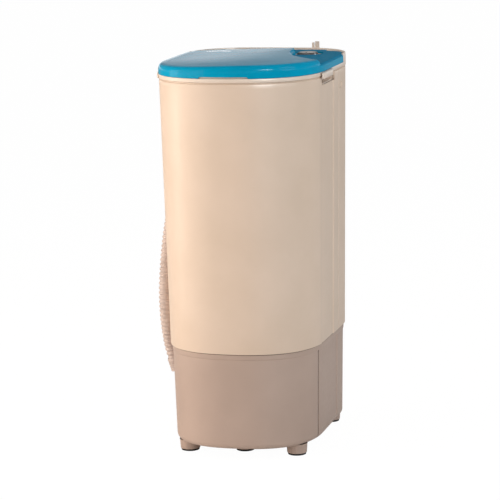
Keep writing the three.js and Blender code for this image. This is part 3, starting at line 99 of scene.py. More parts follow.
class Paint:
    """A principled material with mottled colour, optional painted shade in corners and grooves, grain in its
    roughness and a fine bump.
    """

    def __init__(self, name, roughness, metallic=0.0, coat=0.0, specular=0.5):
        self.material = bpy.data.materials.new(name)
        self.material.use_nodes = True
        self.tree = self.material.node_tree
        self.shader = self.tree.nodes["Principled BSDF"]
        self.shader.inputs["Roughness"].default_value = roughness
        self.shader.inputs["Metallic"].default_value = metallic
        self.shader.inputs["Coat Weight"].default_value = coat
        self.shader.inputs["Specular IOR Level"].default_value = specular
        self.place = self.node("ShaderNodeTexCoord").outputs["Object"]
        self.height = None

    def node(self, kind, **values):
        made = self.tree.nodes.new(kind)
        for key, value in values.items():
            if key in made.inputs:
                made.inputs[key].default_value = value
            else:
                setattr(made, key, value)
        return made

    def link(self, source, target):
        self.tree.links.new(source, target)

    def noise(self, size_mm, detail=3.0, rough=0.5, stretch=(1, 1, 1)):
        mapping = self.node("ShaderNodeMapping")
        mapping.inputs["Scale"].default_value = stretch
        self.link(self.place, mapping.inputs["Vector"])
        noise = self.node("ShaderNodeTexNoise", Scale=1000.0 / size_mm, Detail=detail, Roughness=rough)
        self.link(mapping.outputs["Vector"], noise.inputs["Vector"])
        return noise.outputs["Fac"]

    def spread(self, value, low, high, start=0.35, end=0.65):
        ranged = self.node("ShaderNodeMapRange")
        ranged.inputs["From Min"].default_value = start
        ranged.inputs["From Max"].default_value = end
        ranged.inputs["To Min"].default_value = low
        ranged.inputs["To Max"].default_value = high
        self.link(value, ranged.inputs["Value"])
        return ranged.outputs["Result"]

    def mix(self, factor, first, second):
        mixed = self.node("ShaderNodeMix", data_type="RGBA")
        self.link(factor, mixed.inputs[0])
        for value, socket in ((first, mixed.inputs[6]), (second, mixed.inputs[7])):
            if isinstance(value, tuple):
                socket.default_value = value
            else:
                self.link(value, socket)
        return mixed.outputs[2]

    def colour(self, base, deep, size_mm=60.0, crease_shade=None, crease_shade_mm=2.5):
        """Mottles two tones, and where a shade colour is given paints shade into corners and grooves
        narrower than the given width.
        """
        tone = self.mix(self.spread(self.noise(size_mm), 0.0, 1.0), linear(base), linear(deep))
        if crease_shade:
            # painted shade: ambient occlusion darkens corners, creases and grooves towards the shade colour,
            # as shade falls there
            shade = self.node("ShaderNodeAmbientOcclusion", samples=8, Distance=crease_shade_mm * MM)
            tone = self.mix(self.spread(shade.outputs["AO"], 0.0, 1.0, 0.25, 0.8), linear(crease_shade), tone)
        self.link(tone, self.shader.inputs["Base Color"])
        return self

    def rough(self, low, high, size_mm=8.0, stretch=(1, 1, 1)):
        patches = self.noise(size_mm, 4.0, stretch=stretch)
        self.link(self.spread(patches, low, high), self.shader.inputs["Roughness"])
        return self

    def grain(self, size_mm, depth_mm, detail=2.0, stretch=(1, 1, 1), strength=1.0):
        bump = self.node("ShaderNodeBump", Strength=strength, Distance=depth_mm * MM)
        self.link(self.noise(size_mm, detail, 0.6, stretch), bump.inputs["Height"])
        if self.height:
            self.link(self.height, bump.inputs["Normal"])
        self.height = bump.outputs["Normal"]
        self.link(self.height, self.shader.inputs["Normal"])
        return self


# painted shade: in each call the fourth colour and the width after it darken the material in its corners and
# grooves, where shade falls
CREAM = (Paint("cream_plastic", 0.38).colour("e9d4c1", "e4cfbb", 90, "7d6654", 2.6)
         .rough(0.35, 0.42).grain(0.9, 0.005).grain(24, 0.05).material)
# painted light: a lighter copy of the cream, painted brighter because the upward-facing rim is lit; the
# deck, rear wall, grips and hose clip use it
LIT_BAND = (Paint("cream_band_painted_lit", 0.36, coat=0.08).colour("efe0d2", "eadacb", 90, "7d6654", 2.4)
        .rough(0.32, 0.40).grain(0.7, 0.010).material)
TAUPE = (Paint("taupe_plastic", 0.42).colour("bfa99c", "b9a396", 90, "4a3a33", 6.0)
         .rough(0.38, 0.46).grain(0.9, 0.007).grain(30, 0.06).material)
BLUE = (Paint("blue_plastic", 0.10, specular=0.07).colour("00a6d0", "009fc9", 70)
        .rough(0.07, 0.12, 30).grain(40, 0.05).grain(0.9, 0.002).material)
SATIN_BLUE = (Paint("blue_satin", 0.5, specular=0.02).colour("0a8ab4", "0883ab", 70)
              .rough(0.42, 0.55, 6).grain(0.6, 0.02).material)
DARK = (Paint("knob_plastic", 0.3).colour("6f6763", "625a57", 10, "2c2725", 1.5)
        .rough(0.26, 0.36).grain(0.6, 0.012).material)
# partly painted highlight: the pale cap gives the knob top its light face and also stands in for the glare
# on it
PALE = Paint("cap_plastic", 0.35).colour("d6d1ca", "cec9c2", 10).rough(0.3, 0.4).grain(0.6, 0.01).material
WHITE = (Paint("white_plastic", 0.4).colour("e8e5df", "e0dcd5", 60, "8a857d", 3)
         .rough(0.36, 0.46).grain(0.9, 0.012).material)
HOSE = (Paint("hose_plastic", 0.5).colour("d4c3bb", "cab9b1", 20, "5d4b40", 3.0)
        .rough(0.44, 0.56, 4).grain(0.5, 0.02).material)
RUBBER = (Paint("black_rubber", 0.8, specular=0.3).colour("2d2b2a", "242221", 12, "141312", 1.5)
          .rough(0.7, 0.88, 3).grain(0.5, 0.03).material)
ZINC = (Paint("zinc_steel", 0.32, metallic=1.0).colour("bdbfc1", "aaadb1", 9, "6a6864", 1.2)
        .rough(0.24, 0.42, 5).grain(1.2, 0.008).material)
STAINLESS = (Paint("stainless_steel", 0.25, metallic=1.0).colour("d6d8da", "c9ccce", 40, "77787a", 2.0)
             .rough(0.18, 0.32, 2.0, (0.03, 0.03, 6)).grain(1.0, 0.004, stretch=(0.05, 0.05, 5)).material)
CAST = (Paint("cast_alloy", 0.5, metallic=1.0).colour("a3a6a8", "8f9294", 6, "4e4c4a", 1.5)
        .rough(0.42, 0.6, 2).grain(1.0, 0.05).material)
ENAMEL = (Paint("painted_steel", 0.45).colour("3f454a", "363b40", 30, "16181a", 2.5)
          .rough(0.38, 0.52).grain(1.6, 0.03).material)
CAN = (Paint("capacitor_can", 0.3, metallic=1.0).colour("d4d4d1", "c6c6c3", 20, "77766f", 1.5)
       .rough(0.24, 0.36, 2, (1, 1, 0.05)).grain(0.8, 0.006).material)
BRASS = (Paint("brass", 0.3, metallic=1.0).colour("b8954f", "a8853f", 8, "5c4720", 1.0)
         .rough(0.24, 0.38, 2).grain(0.7, 0.006).material)


# ------------------------------------------------------------------ mesh helpers

SHARP = 32.0  # edges that fold by more degrees than this stay sharp
WELD, SLIVER = 2e-6, 1e-6  # metres; closer points are merged, and shorter edges dissolved

def make(name, points, faces, material, sharp=SHARP):
    """Piece from points in millimetres about the basket's axis."""
    mesh = bpy.data.meshes.new(name)
    mesh.from_pydata([(x * MM, (y + AXIS_Y) * MM, z * MM) for x, y, z in points], [], faces)
    clean(mesh)
    mesh.materials.append(material)
    shade(mesh, sharp)
    made = bpy.data.objects.new(name, mesh)
    scene.collection.objects.link(made)
    return made


def clean(mesh):
    work = bmesh.new()
    work.from_mesh(mesh)
    bmesh.ops.remove_doubles(work, verts=work.verts, dist=WELD)
    bmesh.ops.dissolve_degenerate(work, edges=work.edges, dist=SLIVER)
    bmesh.ops.recalc_face_normals(work, faces=work.faces)
    work.to_mesh(mesh)
    work.free()


def shade(mesh, sharp=SHARP):
    mesh.shade_smooth()
    mesh.set_sharp_from_angle(angle=math.radians(sharp))


def boolean(target, cutter, operation):
    """Joins or cuts target with cutter, and deletes the cutter."""
    modifier = target.modifiers.new("cut", "BOOLEAN")
    modifier.object = cutter
    modifier.operation = operation
    modifier.solver = "EXACT"
    bpy.context.view_layer.update()
    result = bpy.data.meshes.new_from_object(target.evaluated_get(bpy.context.evaluated_depsgraph_get()))
    target.modifiers.clear()
    old = target.data
    target.data = result
    bpy.data.meshes.remove(old)
    spent = cutter.data
    bpy.data.objects.remove(cutter)
    bpy.data.meshes.remove(spent)


def merge(target, *others):
    """Adds other pieces' faces to target's mesh."""
    work = bmesh.new()
    work.from_mesh(target.data)
    for other in others:
        work.from_mesh(other.data)
        spent = other.data
        bpy.data.objects.remove(other)
        bpy.data.meshes.remove(spent)
    work.to_mesh(target.data)
    work.free()


def bevel(target, width_mm, segments=2, angle=34.0):
    modifier = target.modifiers.new("edges", "BEVEL")
    modifier.width = width_mm * MM
    modifier.segments = segments
    modifier.limit_method = "ANGLE"
    modifier.angle_limit = math.radians(angle)
    modifier.harden_normals = True
    return target


def skin(rings, count, closed, across=None):
    """Quads between rings of count points, and on to the first ring where closed; across may stop short."""
    faces = []
    for i in range(rings if closed else rings - 1):
        a, b = i * count, ((i + 1) % rings) * count
        for j in range(count if across is None else across):
            k = (j + 1) % count
            faces.append((a + j, b + j, b + k, a + k))
    return faces


def stack(rings, count):
    """Quads between stacked rings of count points, with a cap on both ends."""
    faces = []
    for i in range(rings - 1):
        a, b = i * count, (i + 1) * count
        for j in range(count):
            k = (j + 1) % count
            faces.append((a + j, a + k, b + k, b + j))
    return faces + [tuple(range(count))[::-1], tuple(range((rings - 1) * count, rings * count))]


def prism(name, axis, ends, outline, material):
    """Straight bar along an axis between two ends; the outline holds the two other coordinates in order."""
    count = len(outline)
    at = "xyz".index(axis)
    points = [(*spot[:at], end, *spot[at:]) for end in ends for spot in outline]
    faces = [(j, (j + 1) % count, count + (j + 1) % count, count + j) for j in range(count)]
    faces += [tuple(range(count)), tuple(range(count, 2 * count))[::-1]]
    return make(name, points, faces, material)


def brick(name, x, y, z, material):
    points = [(a, b, c) for c in z for b in y for a in x]
    faces = [(0, 2, 3, 1), (4, 5, 7, 6), (0, 1, 5, 4), (2, 6, 7, 3), (0, 4, 6, 2), (1, 3, 7, 5)]
    return make(name, points, faces, material)


def lathe(name, profile, material, x=0.0, y=0.0, steps=72, closed=True, wave=None, sharp=SHARP):
    """Round piece about an upright axis from (radius, z) points; wave(angle, point) is added to a radius."""
    points = []
    count = len(profile)
    for i in range(steps):
        angle = 2 * math.pi * i / steps
        for j, (radius, z) in enumerate(profile):
            r = radius + (wave(angle, j) if wave else 0.0)
            points.append((x + r * math.cos(angle), y + r * math.sin(angle), z))
    last = count if closed and profile[0][0] > 0 else count - 1
    return make(name, points, skin(steps, count, True, last), material, sharp)


def turn_to(target, origin, direction):
    """Moves a piece made about the basket's axis so that it stands at origin, along direction."""
    spin = Vector((0, 0, 1)).rotation_difference(Vector(direction)).to_matrix().to_4x4()
    home = Matrix.Translation(Vector((0, AXIS_Y * MM, 0)))
    there = Matrix.Translation(Vector((origin[0] * MM, (origin[1] + AXIS_Y) * MM, origin[2] * MM)))
    target.data.transform(there @ spin @ home.inverted())
    return target


# ------------------------------------------------------------------ the cabinet's plan

def front_angle(y):
    return math.asin(min(abs(y) / FRONT_DEPTH, 1.0) ** (FRONT_POWER / 2))


def plan_stations(front_steps=72, front_ys=(), side_ys=(), corner_steps=18):
    """Stations round the plan, counterclockwise from the left end of the front: (kind, side, value)."""
    angles = [math.pi + math.pi * i / front_steps for i in range(front_steps + 1)]
    for y in front_ys:
        angles += [math.pi + front_angle(y), 2 * math.pi - front_angle(y)]
    stations = [("front", -1 if t < 1.5 * math.pi else 1, t) for t in sorted(set(angles))]
    ys = sorted(set(side_ys))
    stations += [("side", 1, y) for y in ys]
    stations += [("corner", 1, math.pi / 2 * i / corner_steps) for i in range(corner_steps + 1)]
    stations += [("back", 0, x) for x in (30.0, 10.0, -10.0, -30.0)]
    stations += [("corner", -1, math.pi / 2 * (1 + i / corner_steps)) for i in range(corner_steps + 1)]
    stations += [("side", -1, y) for y in reversed(ys)]
    return stations


def plan_point(station, inset):
    kind, side, value = station
    half = HALF_WIDTH - inset
    if kind == "front":
        power = 2 / FRONT_POWER
        c, s = math.cos(value), math.sin(value)
        x = half * math.copysign(abs(c) ** power, c)
        return x, (FRONT_DEPTH - inset) * math.copysign(abs(s) ** power, s)
    if kind == "side":
        return side * half, value
    if kind == "back":
        return value, REAR_DEPTH - inset
    corner = REAR_CORNER - inset
    middle = side * (half - corner)
    return middle + corner * math.cos(value), REAR_DEPTH - inset - corner + corner * math.sin(value)


def body_inset(z):
    return BODY_DRAFT * (BODY_TOP - z)


BASE_TOP_INSET = body_inset(SEAM) + BASE_STEP


def base_inset(z):
    return BASE_TOP_INSET + BASE_DRAFT * (SEAM - z)


def ramp(value, start, end):
    t = min(max((value - start) / (end - start), 0.0), 1.0)
    return t * t * (3 - 2 * t)


def loft(name, stations, profile, material, extra=None, top=None, ring=True):
    """Closed skin through plan stations; profile holds (inset, z, outer) points round the section.
    extra(side, y, z) sets an outer point further in, and top(side, y) caps a station's height."""
    points = []
    count = len(profile)
    for station in stations:
        base_y = plan_point(station, 0.0)[1]
        side = station[1]
        cap = top(side, base_y) if top else None
        for inset, z, outer in profile:
            height = min(z, cap) if cap is not None else z
            depth = extra(side, base_y, height) if extra and outer else 0.0
            x, y = plan_point(station, inset + depth)
            points.append((x, y, height))
    total = len(stations)
    faces = skin(total, count, ring)
    if not ring:
        faces += [tuple(range(count)), tuple(range((total - 1) * count, total * count))[::-1]]
    return make(name, points, faces, material)


# ------------------------------------------------------------------ body shell and rear cover

CHANNEL_FRONT, CHANNEL_REAR, CHANNEL_DEPTH = -40.0, 52.0, 1.6
WINDOW_FRONT, WINDOW_REAR, WINDOW_TOP = -31.3, 55.3, 634.7  # cut in the side wall for the grip's pocket
NOTCH_FRONT, NOTCH_REAR, NOTCH_LOW, NOTCH_HIGH, NOTCH_DEPTH = JOINT_Y, JOINT_Y + 26.0, 616.0, 625.0, 1.6
SEAM_EASE = 0.9  # how far the shell and the cover draw in at their joint
GLAND_X, GLAND_Z, GLAND_HOLE = -48, 228, 9.3
BODY_ROWS = [188.6, 250.0, 320.0, 390.0, 460.0, 530.0, 590.0, 614.9, 616.1, 624.9, 626.1, WINDOW_TOP]
BODY_ROWS += [640.0, 647.2]


def body_profile():
    low = SEAM + CLEAR
    outer = [(body_inset(low) + 1.2, low, True), (body_inset(low) + 0.35, low + 0.35, True)]
    outer += [(body_inset(z), z, True) for z in BODY_ROWS]
    outer += [(0.35, 648.0, True), (1.5, 648.6, True), (1.5, BODY_TOP, True)]
    inner = [(BODY_WALL, BODY_TOP, False), (body_inset(low) + BODY_WALL, low, False)]
    return outer + inner


def channel_depth(side, y, z):
    inside = ramp(y, CHANNEL_FRONT, CHANNEL_FRONT + 2.5) * (1 - ramp(y, CHANNEL_REAR - 2.5, CHANNEL_REAR))
    return CHANNEL_DEPTH * inside + SEAM_EASE * ramp(y, JOINT_Y - 2.2, JOINT_Y - 0.3)


def window_top(side, y):
    return WINDOW_TOP if WINDOW_FRONT < y < WINDOW_REAR else None


def cover_depth(side, y, z):
    edge = SEAM_EASE * (1 - ramp(y, JOINT_Y, JOINT_Y + 1.8))
    if side == 0:
        return edge
    along = ramp(y, NOTCH_FRONT + 4, NOTCH_FRONT + 5.5) * (1 - ramp(y, NOTCH_REAR - 1.5, NOTCH_REAR))
    up = ramp(z, NOTCH_LOW - 1, NOTCH_LOW + 0.2) * (1 - ramp(z, NOTCH_HIGH - 0.2, NOTCH_HIGH + 1))
    return edge + NOTCH_DEPTH * along * up


def make_body():
    sides = [4, 16, 30, 44, 48.8, 49.5, 50.3, 51, 52, WINDOW_REAR - 0.03, WINDOW_REAR + 0.03, 64, 76]
    sides += [86, 87.8, 88.4, 89.0, 89.4, JOINT_Y - CLEAR]
    fronts = [-40, -39.3, -38.7, -38.1, -37.5, WINDOW_FRONT - 0.03, WINDOW_FRONT + 0.03, -20, -10]
    every = plan_stations(front_ys=fronts, side_ys=sides)
    keep = [s for s in every if s[0] in ("front", "side") and plan_point(s, 0)[1] <= JOINT_Y]
    left = [s for s in keep if s[0] == "side" and s[1] < 0]
    shell = loft("cabinet_front_shell", left + [s for s in keep if s not in left], body_profile(), CREAM,
                 channel_depth, window_top, ring=False)
    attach(shell, "cabinet")
    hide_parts("body_shell")


def make_cover():
    sides = [JOINT_Y, 90.4, 90.8, 91.2, 91.8, 94, 94.5, 95, 95.5, 104, 114.5, 115, 115.5, 116, 126]
    every = plan_stations(side_ys=sides)
    keep = [s for s in every if s[0] != "front"]
    cover = loft("cabinet_rear_cover", keep, body_profile(), CREAM, cover_depth, ring=False)
    hole = lathe("gland_hole", [(0, -40), (GLAND_HOLE, -40), (GLAND_HOLE, 40), (0, 40)], CREAM, steps=40)
    turn_to(hole, (GLAND_X, REAR_DEPTH, GLAND_Z), (0, 1, 0))
    boolean(cover, hole, "DIFFERENCE")
    shade(cover.data)
    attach(cover, "cabinet")
    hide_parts("rear_cover")


make_body()
make_cover()


# ------------------------------------------------------------------ base

GROOVE_Y, GROOVE_WIDTH, GROOVE_DEPTH = -46.0, 5.0, 2.6
PANEL_FRONT, PANEL_REAR_END, PANEL_LOW, PANEL_HIGH, PANEL_DEPTH = -41.0, 98.0, 30.0, 177.0, 1.4
BAND_LOW = 178.0  # where the band along the base's top edge starts
BASE_WALL, FLOOR_TOP, FLOOR_INSET = 4, 24.2, 60
COLLAR_TOP, COLLAR_WIDTH = 196.0, 2  # the rabbet inside the cabinet's lower edge
SPIGOT_HOLE, SPIGOT_PLACE = 15.5, (-138, 32.5, 89.5)


def base_depth(side, y, z):
    if side == 0 or z > PANEL_HIGH + 0.9:
        return 0.0
    groove = 1 - ramp(abs(y - GROOVE_Y), GROOVE_WIDTH / 2 - 0.9, GROOVE_WIDTH / 2 + 0.9)
    along = ramp(y, PANEL_FRONT, PANEL_FRONT + 1.6) * (1 - ramp(y, PANEL_REAR_END - 1.6, PANEL_REAR_END))
    up = ramp(z, PANEL_LOW - 1.5, PANEL_LOW + 0.5)
    below = 1 - ramp(z, PANEL_HIGH - 0.1, PANEL_HIGH + 0.9)
    return (GROOVE_DEPTH * groove + PANEL_DEPTH * along * up) * below


def make_base():
    fronts = [-49.6, -49.0, -48.4, -47.8, -47.2, -46.0, -44.8, -44.2, -43.6, -43.0, -42.4]
    fronts += [-41.0, -40.5, -40.0, -39.4]
    sides = [10, 30, 50, 70, 90, 96.4, 96.9, 97.5, 98, 110, 126]
    low = FOOT_HEIGHT
    rounding = [(7.5, 0.0), (4.6, 0.5), (2.6, 1.7), (1.1, 3.9), (0.3, 6.2), (0.0, 9.0)]
    outer = [(base_inset(low + rise) + inset, low + rise, True) for inset, rise in rounding]
    outer += [(base_inset(z), z, True) for z in (30.6, 60, 90, 120, 150, 170, BAND_LOW - 1.2)]
    band = [(BAND_LOW - 0.6, 0.5, 0.0), (BAND_LOW, 0.9, 0.1), (BAND_LOW + 1, 1.1, 0.4)]
    band += [(SEAM, 1.0, -0.8), (SEAM, 0.3, 0.0)]
    outer += [(base_inset(z) - out, z + rise, True) for z, out, rise in band]
    collar = body_inset(SEAM) + BODY_WALL + CLEAR
    inner = [(collar, SEAM), (collar, COLLAR_TOP), (collar + COLLAR_WIDTH, COLLAR_TOP)]
    inner += [(base_inset(BAND_LOW) + BASE_WALL, BAND_LOW), (base_inset(FLOOR_TOP) + BASE_WALL, FLOOR_TOP)]
    inner += [(FLOOR_INSET, FLOOR_TOP), (FLOOR_INSET, FOOT_HEIGHT)]
    profile = outer + [(inset, z, False) for inset, z in inner]
    every = plan_stations(front_ys=fronts, side_ys=sides)
    hull = loft("base_hull", every, profile, TAUPE, base_depth)
    plate = [(59, 20.25, False), (59, 24.1, False), (120, 24.1, False), (120, 20.25, False)]
    floor = loft("base_floor", plan_stations(36, corner_steps=8), plate, TAUPE)
    hole = lathe("spigot_hole", [(0, -30), (SPIGOT_HOLE, -30), (SPIGOT_HOLE, 30), (0, 30)], TAUPE, steps=40)
    turn_to(hole, SPIGOT_PLACE, (1, 0, 0))
    boolean(hull, hole, "DIFFERENCE")
    merge(hull, floor)
    shade(hull.data)
    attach(hull, "cabinet")
    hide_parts("base_shell")


make_base()


# ------------------------------------------------------------------ deck

DECK_LOW = BODY_TOP + CLEAR
DECK_SEAT = LID_SEAT - CLEAR
PLATE_TOP, PLATE_INSET = DECK_LOW + 3, 14
MOUTH, COLLAR_LOW, COLLAR_WALL = 100.0, DECK_LOW - 14, 2.5
PLUNGER_X, PLUNGER_Y = -92, 130
HOLE, BOSS = 3.3, 23  # radii
RIDGE_HALF, RIDGE_HEIGHT = 60, 3.4
EAR_STEP, EAR_HALF, EAR_RADIUS = 9.3, 3, 5
WALL_START = 126.0


def knuckle(name, middle, half, radius, root, material):
    """Hinge ear or lug: a bar along the hinge's axis, round on the side away from its root's height."""
    rise = radius if root < HINGE_Z else -radius
    turns = [math.pi * i / 16 for i in range(17)]
    outline = [(HINGE_Y + radius, root)]
    outline += [(HINGE_Y + radius * math.cos(t), HINGE_Z + rise * math.sin(t)) for t in turns]
    outline += [(HINGE_Y - radius, root)]
    return prism(name, "x", (middle - half, middle + half), outline, material)


def make_deck():
    """One skin from the rim over the sunk plate, round the mouth's bead and collar and back underneath."""
    stations = plan_stations(side_ys=[20, 45, 70, 95, 115], front_steps=96, corner_steps=20)
    rim = [(0.6, DECK_LOW), (-0.3, DECK_LOW + 0.2), (-0.6, DECK_LOW + 0.9), (-0.6, DECK_SEAT - 1.0)]
    rim += [(-0.3, DECK_SEAT - 0.3), (0.4, DECK_SEAT), (3.6, DECK_SEAT), (4.3, DECK_SEAT - 0.4)]
    rim += [(4.5, DECK_SEAT - 1), (4.7, PLATE_TOP + 0.7), (5.6, PLATE_TOP), (PLATE_INSET, PLATE_TOP)]
    bead = [(6, 0), (4.4, 0.5), (3.6, 2.6), (2.6, 3.7), (1.4, 4.0), (0.4, 3.6), (0, 2.8)]
    mouth = [(MOUTH + out, PLATE_TOP + rise) for out, rise in bead]
    mouth += [(MOUTH, COLLAR_LOW), (MOUTH + COLLAR_WALL, COLLAR_LOW), (MOUTH + COLLAR_WALL, DECK_LOW)]
    points = []
    for station in stations:
        x, y = plan_point(station, PLATE_INSET)
        angle = math.atan2(y, x)
        points += [(*plan_point(station, inset), z) for inset, z in rim]
        points += [(radius * math.cos(angle), radius * math.sin(angle), z) for radius, z in mouth]
        points.append((*plan_point(station, PLATE_INSET + 2), DECK_LOW))
    deck = make("deck_rim", points, skin(len(stations), len(rim) + len(mouth) + 1, True), LIT_BAND)
    for x, y in ((TIMER_X, TIMER_Y), (PLUNGER_X, PLUNGER_Y)):
        hole = lathe("deck_hole", [(0, 640), (HOLE, 640), (HOLE, 665), (0, 665)], LIT_BAND, x, y, 24)
        boolean(deck, hole, "DIFFERENCE")
    section = [(HOLE, DECK_LOW), (BOSS, DECK_LOW), (BOSS, 660.4), (22.8, 661.0), (22, 661.4), (HOLE, 661.4)]
    boss = lathe("deck_boss", section, LIT_BAND, TIMER_X, TIMER_Y, 64)
    middles = [side * HINGE_X + step for side in (-1, 1) for step in (-EAR_STEP, EAR_STEP)]
    ears = [knuckle("deck_ear", x, EAR_HALF, EAR_RADIUS, PLATE_TOP - 1, LIT_BAND) for x in middles]
    merge(deck, boss, notch_ridge(), *ears)
    shade(deck.data)
    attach(deck, "cabinet")
    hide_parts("deck")


def notch_ridge():
    """Low ridge on the rim behind the lid's finger notch."""
    front = [s for s in plan_stations(front_steps=96) if s[0] == "front"]
    spots = sorted(s for s in front if abs(plan_point(s, 0)[0]) < RIDGE_HALF)
    top = DECK_SEAT + RIDGE_HEIGHT
    section = [(2.4, DECK_SEAT - 1), (2.4, DECK_SEAT + 3.0), (2.8, top), (4.1, top)]
    section += [(4.5, DECK_SEAT + 3.0), (4.5, DECK_SEAT - 1)]
    points = [(*plan_point(spot, inset), z) for spot in spots for inset, z in section]
    return make("deck_ridge", points, stack(len(spots), len(section)), LIT_BAND)


def make_rear_wall():
    sides = [WALL_START, 126.8, 127.6, 128.6, 130, 132]
    keep = [s for s in plan_stations(side_ys=sides, corner_steps=22) if s[0] != "front"]
    profile = [(-0.55, DECK_LOW + 1, True), (-0.6, WALL_TOP - 1.4, True), (-0.3, WALL_TOP - 0.5, True),
               (0.4, WALL_TOP, True), (2.4, WALL_TOP, False), (3.0, WALL_TOP - 0.5, False),
               (3.2, WALL_TOP - 1.4, False), (3.2, DECK_LOW + 1, False)]
    drop = {WALL_START: 1.9, 126.8: 1.1, 127.6: 0.6, 128.6: 0.25}  # rounds off the wall's front ends

    def lowered(side, y):
        return WALL_TOP - drop.get(round(y, 1), 0.0) if side else None
    wall = loft("deck_rear_wall", keep, profile, LIT_BAND, top=lowered, ring=False)
    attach(wall, "cabinet")


make_deck()
make_rear_wall()


# ------------------------------------------------------------------ lid

LID_WALL = 2.6
PANEL_REAR = 146.0  # rear edge of the raised panel
BITE_X, BITE_Y, BITE_RADIUS = 247.0, 107.0, 186.0  # round edge of the raised panel beside the knob
LID_REAR = 200.0
STEP_Y, SIDE_STEP = 123.8, 5.4  # behind STEP_Y the lid is narrower, inside the raised rear wall
TONGUE = [(136.5, 158), (131, 168), (122, 176), (98, 181)]  # the relieved rear corner, from the side inwards
DOME, DOME_SPAN = 1.6, 140.0
FALL_START, FALL = 60.0, 4.5  # the lid's top slopes down from this x to its left edge
FLARE_OUT = 1.3  # how far the edge of the raised panel leans out for each millimetre up
LUG_HALF, LUG_RADIUS = 6, 4.5
FINGER_HALF, FINGER_HEIGHT, FINGER_SLANT = 43.5, 2.6, 3
KNOB_WINDOW = 27.5
CORNER_LIMIT, MIDDLE_Y = 80.0, 36  # deeper than this inset the plan's rear corners would run out


def dome(inset):
    return DOME * (1 - (1 - min(max(inset, 0.0), DOME_SPAN) / DOME_SPAN) ** 2)


def lid_point(station, inset):
    """Point of the plan at that inset; past the corners' limit the rings shrink towards a middle."""
    x, y = plan_point(station, min(inset, CORNER_LIMIT))
    share = 1 - max(inset - CORNER_LIMIT, 0.0) / 62.0
    return x * share, MIDDLE_Y + (y - MIDDLE_Y) * share


def lid_solid(name, rows, fall=0.0):
    """Capped solid over the lid's plan; rows are (inset, z) from the seat inwards and up."""
    sides = [30, 60, 90, 110, STEP_Y - 0.05, STEP_Y + 0.05, 129]
    stations = plan_stations(front_steps=96, side_ys=sides, corner_steps=20)
    points = []
    for inset, z in rows:
        for station in stations:
            narrow = SIDE_STEP if plan_point(station, 0)[1] > STEP_Y and inset < 60 else 0.0
            x, y = lid_point(station, inset + narrow)
            lowered = fall * ramp(FALL_START - x, 0, FALL_START + HALF_WIDTH) if z > LID_SEAT + 1 else 0.0
            points.append((x, y, z - lowered))
    return make(name, points, stack(len(rows), len(stations)), BLUE)


def crown_rows(top, seat, start, radius, crown=1.0):
    """Section of a lid level: a skirt that rounds over into a shoulder of that width, and a domed top."""
    height = min(2 * radius, top - LID_SEAT - 2)
    rows = [(start, seat), (start, top - height)]
    for share in (0.25, 0.45, 0.62, 0.76, 0.86, 0.93, 0.975, 1.0):
        rows.append((start + radius * (1 - math.sqrt(1 - share ** 3)), top - height + height * share))
    edge = rows[-1][0]
    for inset in (14, 22, 34, 50, 70, 92, 114, 132):
        rows.append((inset, top + (dome(inset) - dome(edge)) * crown))
    return rows


def raised_panel(name, rows, margin, low, flare):
    """The lid's upper level, cut off at the rear and by the round bite, with edges flaring near the top."""
    solid = lid_solid(name, rows, FALL)
    high, out = rows[-1][1] - 2.2, flare * FLARE_OUT
    radius, y = BITE_RADIUS + margin, PANEL_REAR - margin
    profile = [(0, low), (radius, low), (radius, high - flare), (radius + out, high)]
    profile += [(radius + out, high + 20), (0, high + 20)]
    boolean(solid, lathe("bite", profile, BLUE, BITE_X, BITE_Y, 180, sharp=180), "DIFFERENCE")
    section = [(y, low), (y, high - flare), (y - out, high), (y - out, high + 20)]
    section += [(y + 200, high + 20), (y + 200, low)]
    boolean(solid, prism("rear", "x", (-300, 300), section, BLUE), "DIFFERENCE")
    return solid


def notch_cutter():
    slope, top = FINGER_HALF - FINGER_SLANT, LID_SEAT + FINGER_HEIGHT
    section = [(-FINGER_HALF, LID_SEAT - 3), (-FINGER_HALF, LID_SEAT), (-slope, top), (slope, top)]
    section += [(FINGER_HALF, LID_SEAT), (FINGER_HALF, LID_SEAT - 3)]
    return prism("notch", "y", (-260, -80), section, BLUE)


def rear_cutter(margin, rear):
    """Everything behind the lid: its rear edge with the tongue between the two relieved corners."""
    side = [(300, TONGUE[0][1] - margin)] + [(x - margin, y - margin) for x, y in TONGUE]
    side.append((TONGUE[-1][0] - margin, rear))
    outline = side + [(-x, y) for x, y in reversed(side)] + [(-300, 400), (300, 400)]
    return prism("behind", "z", (600, 720), outline, BLUE)


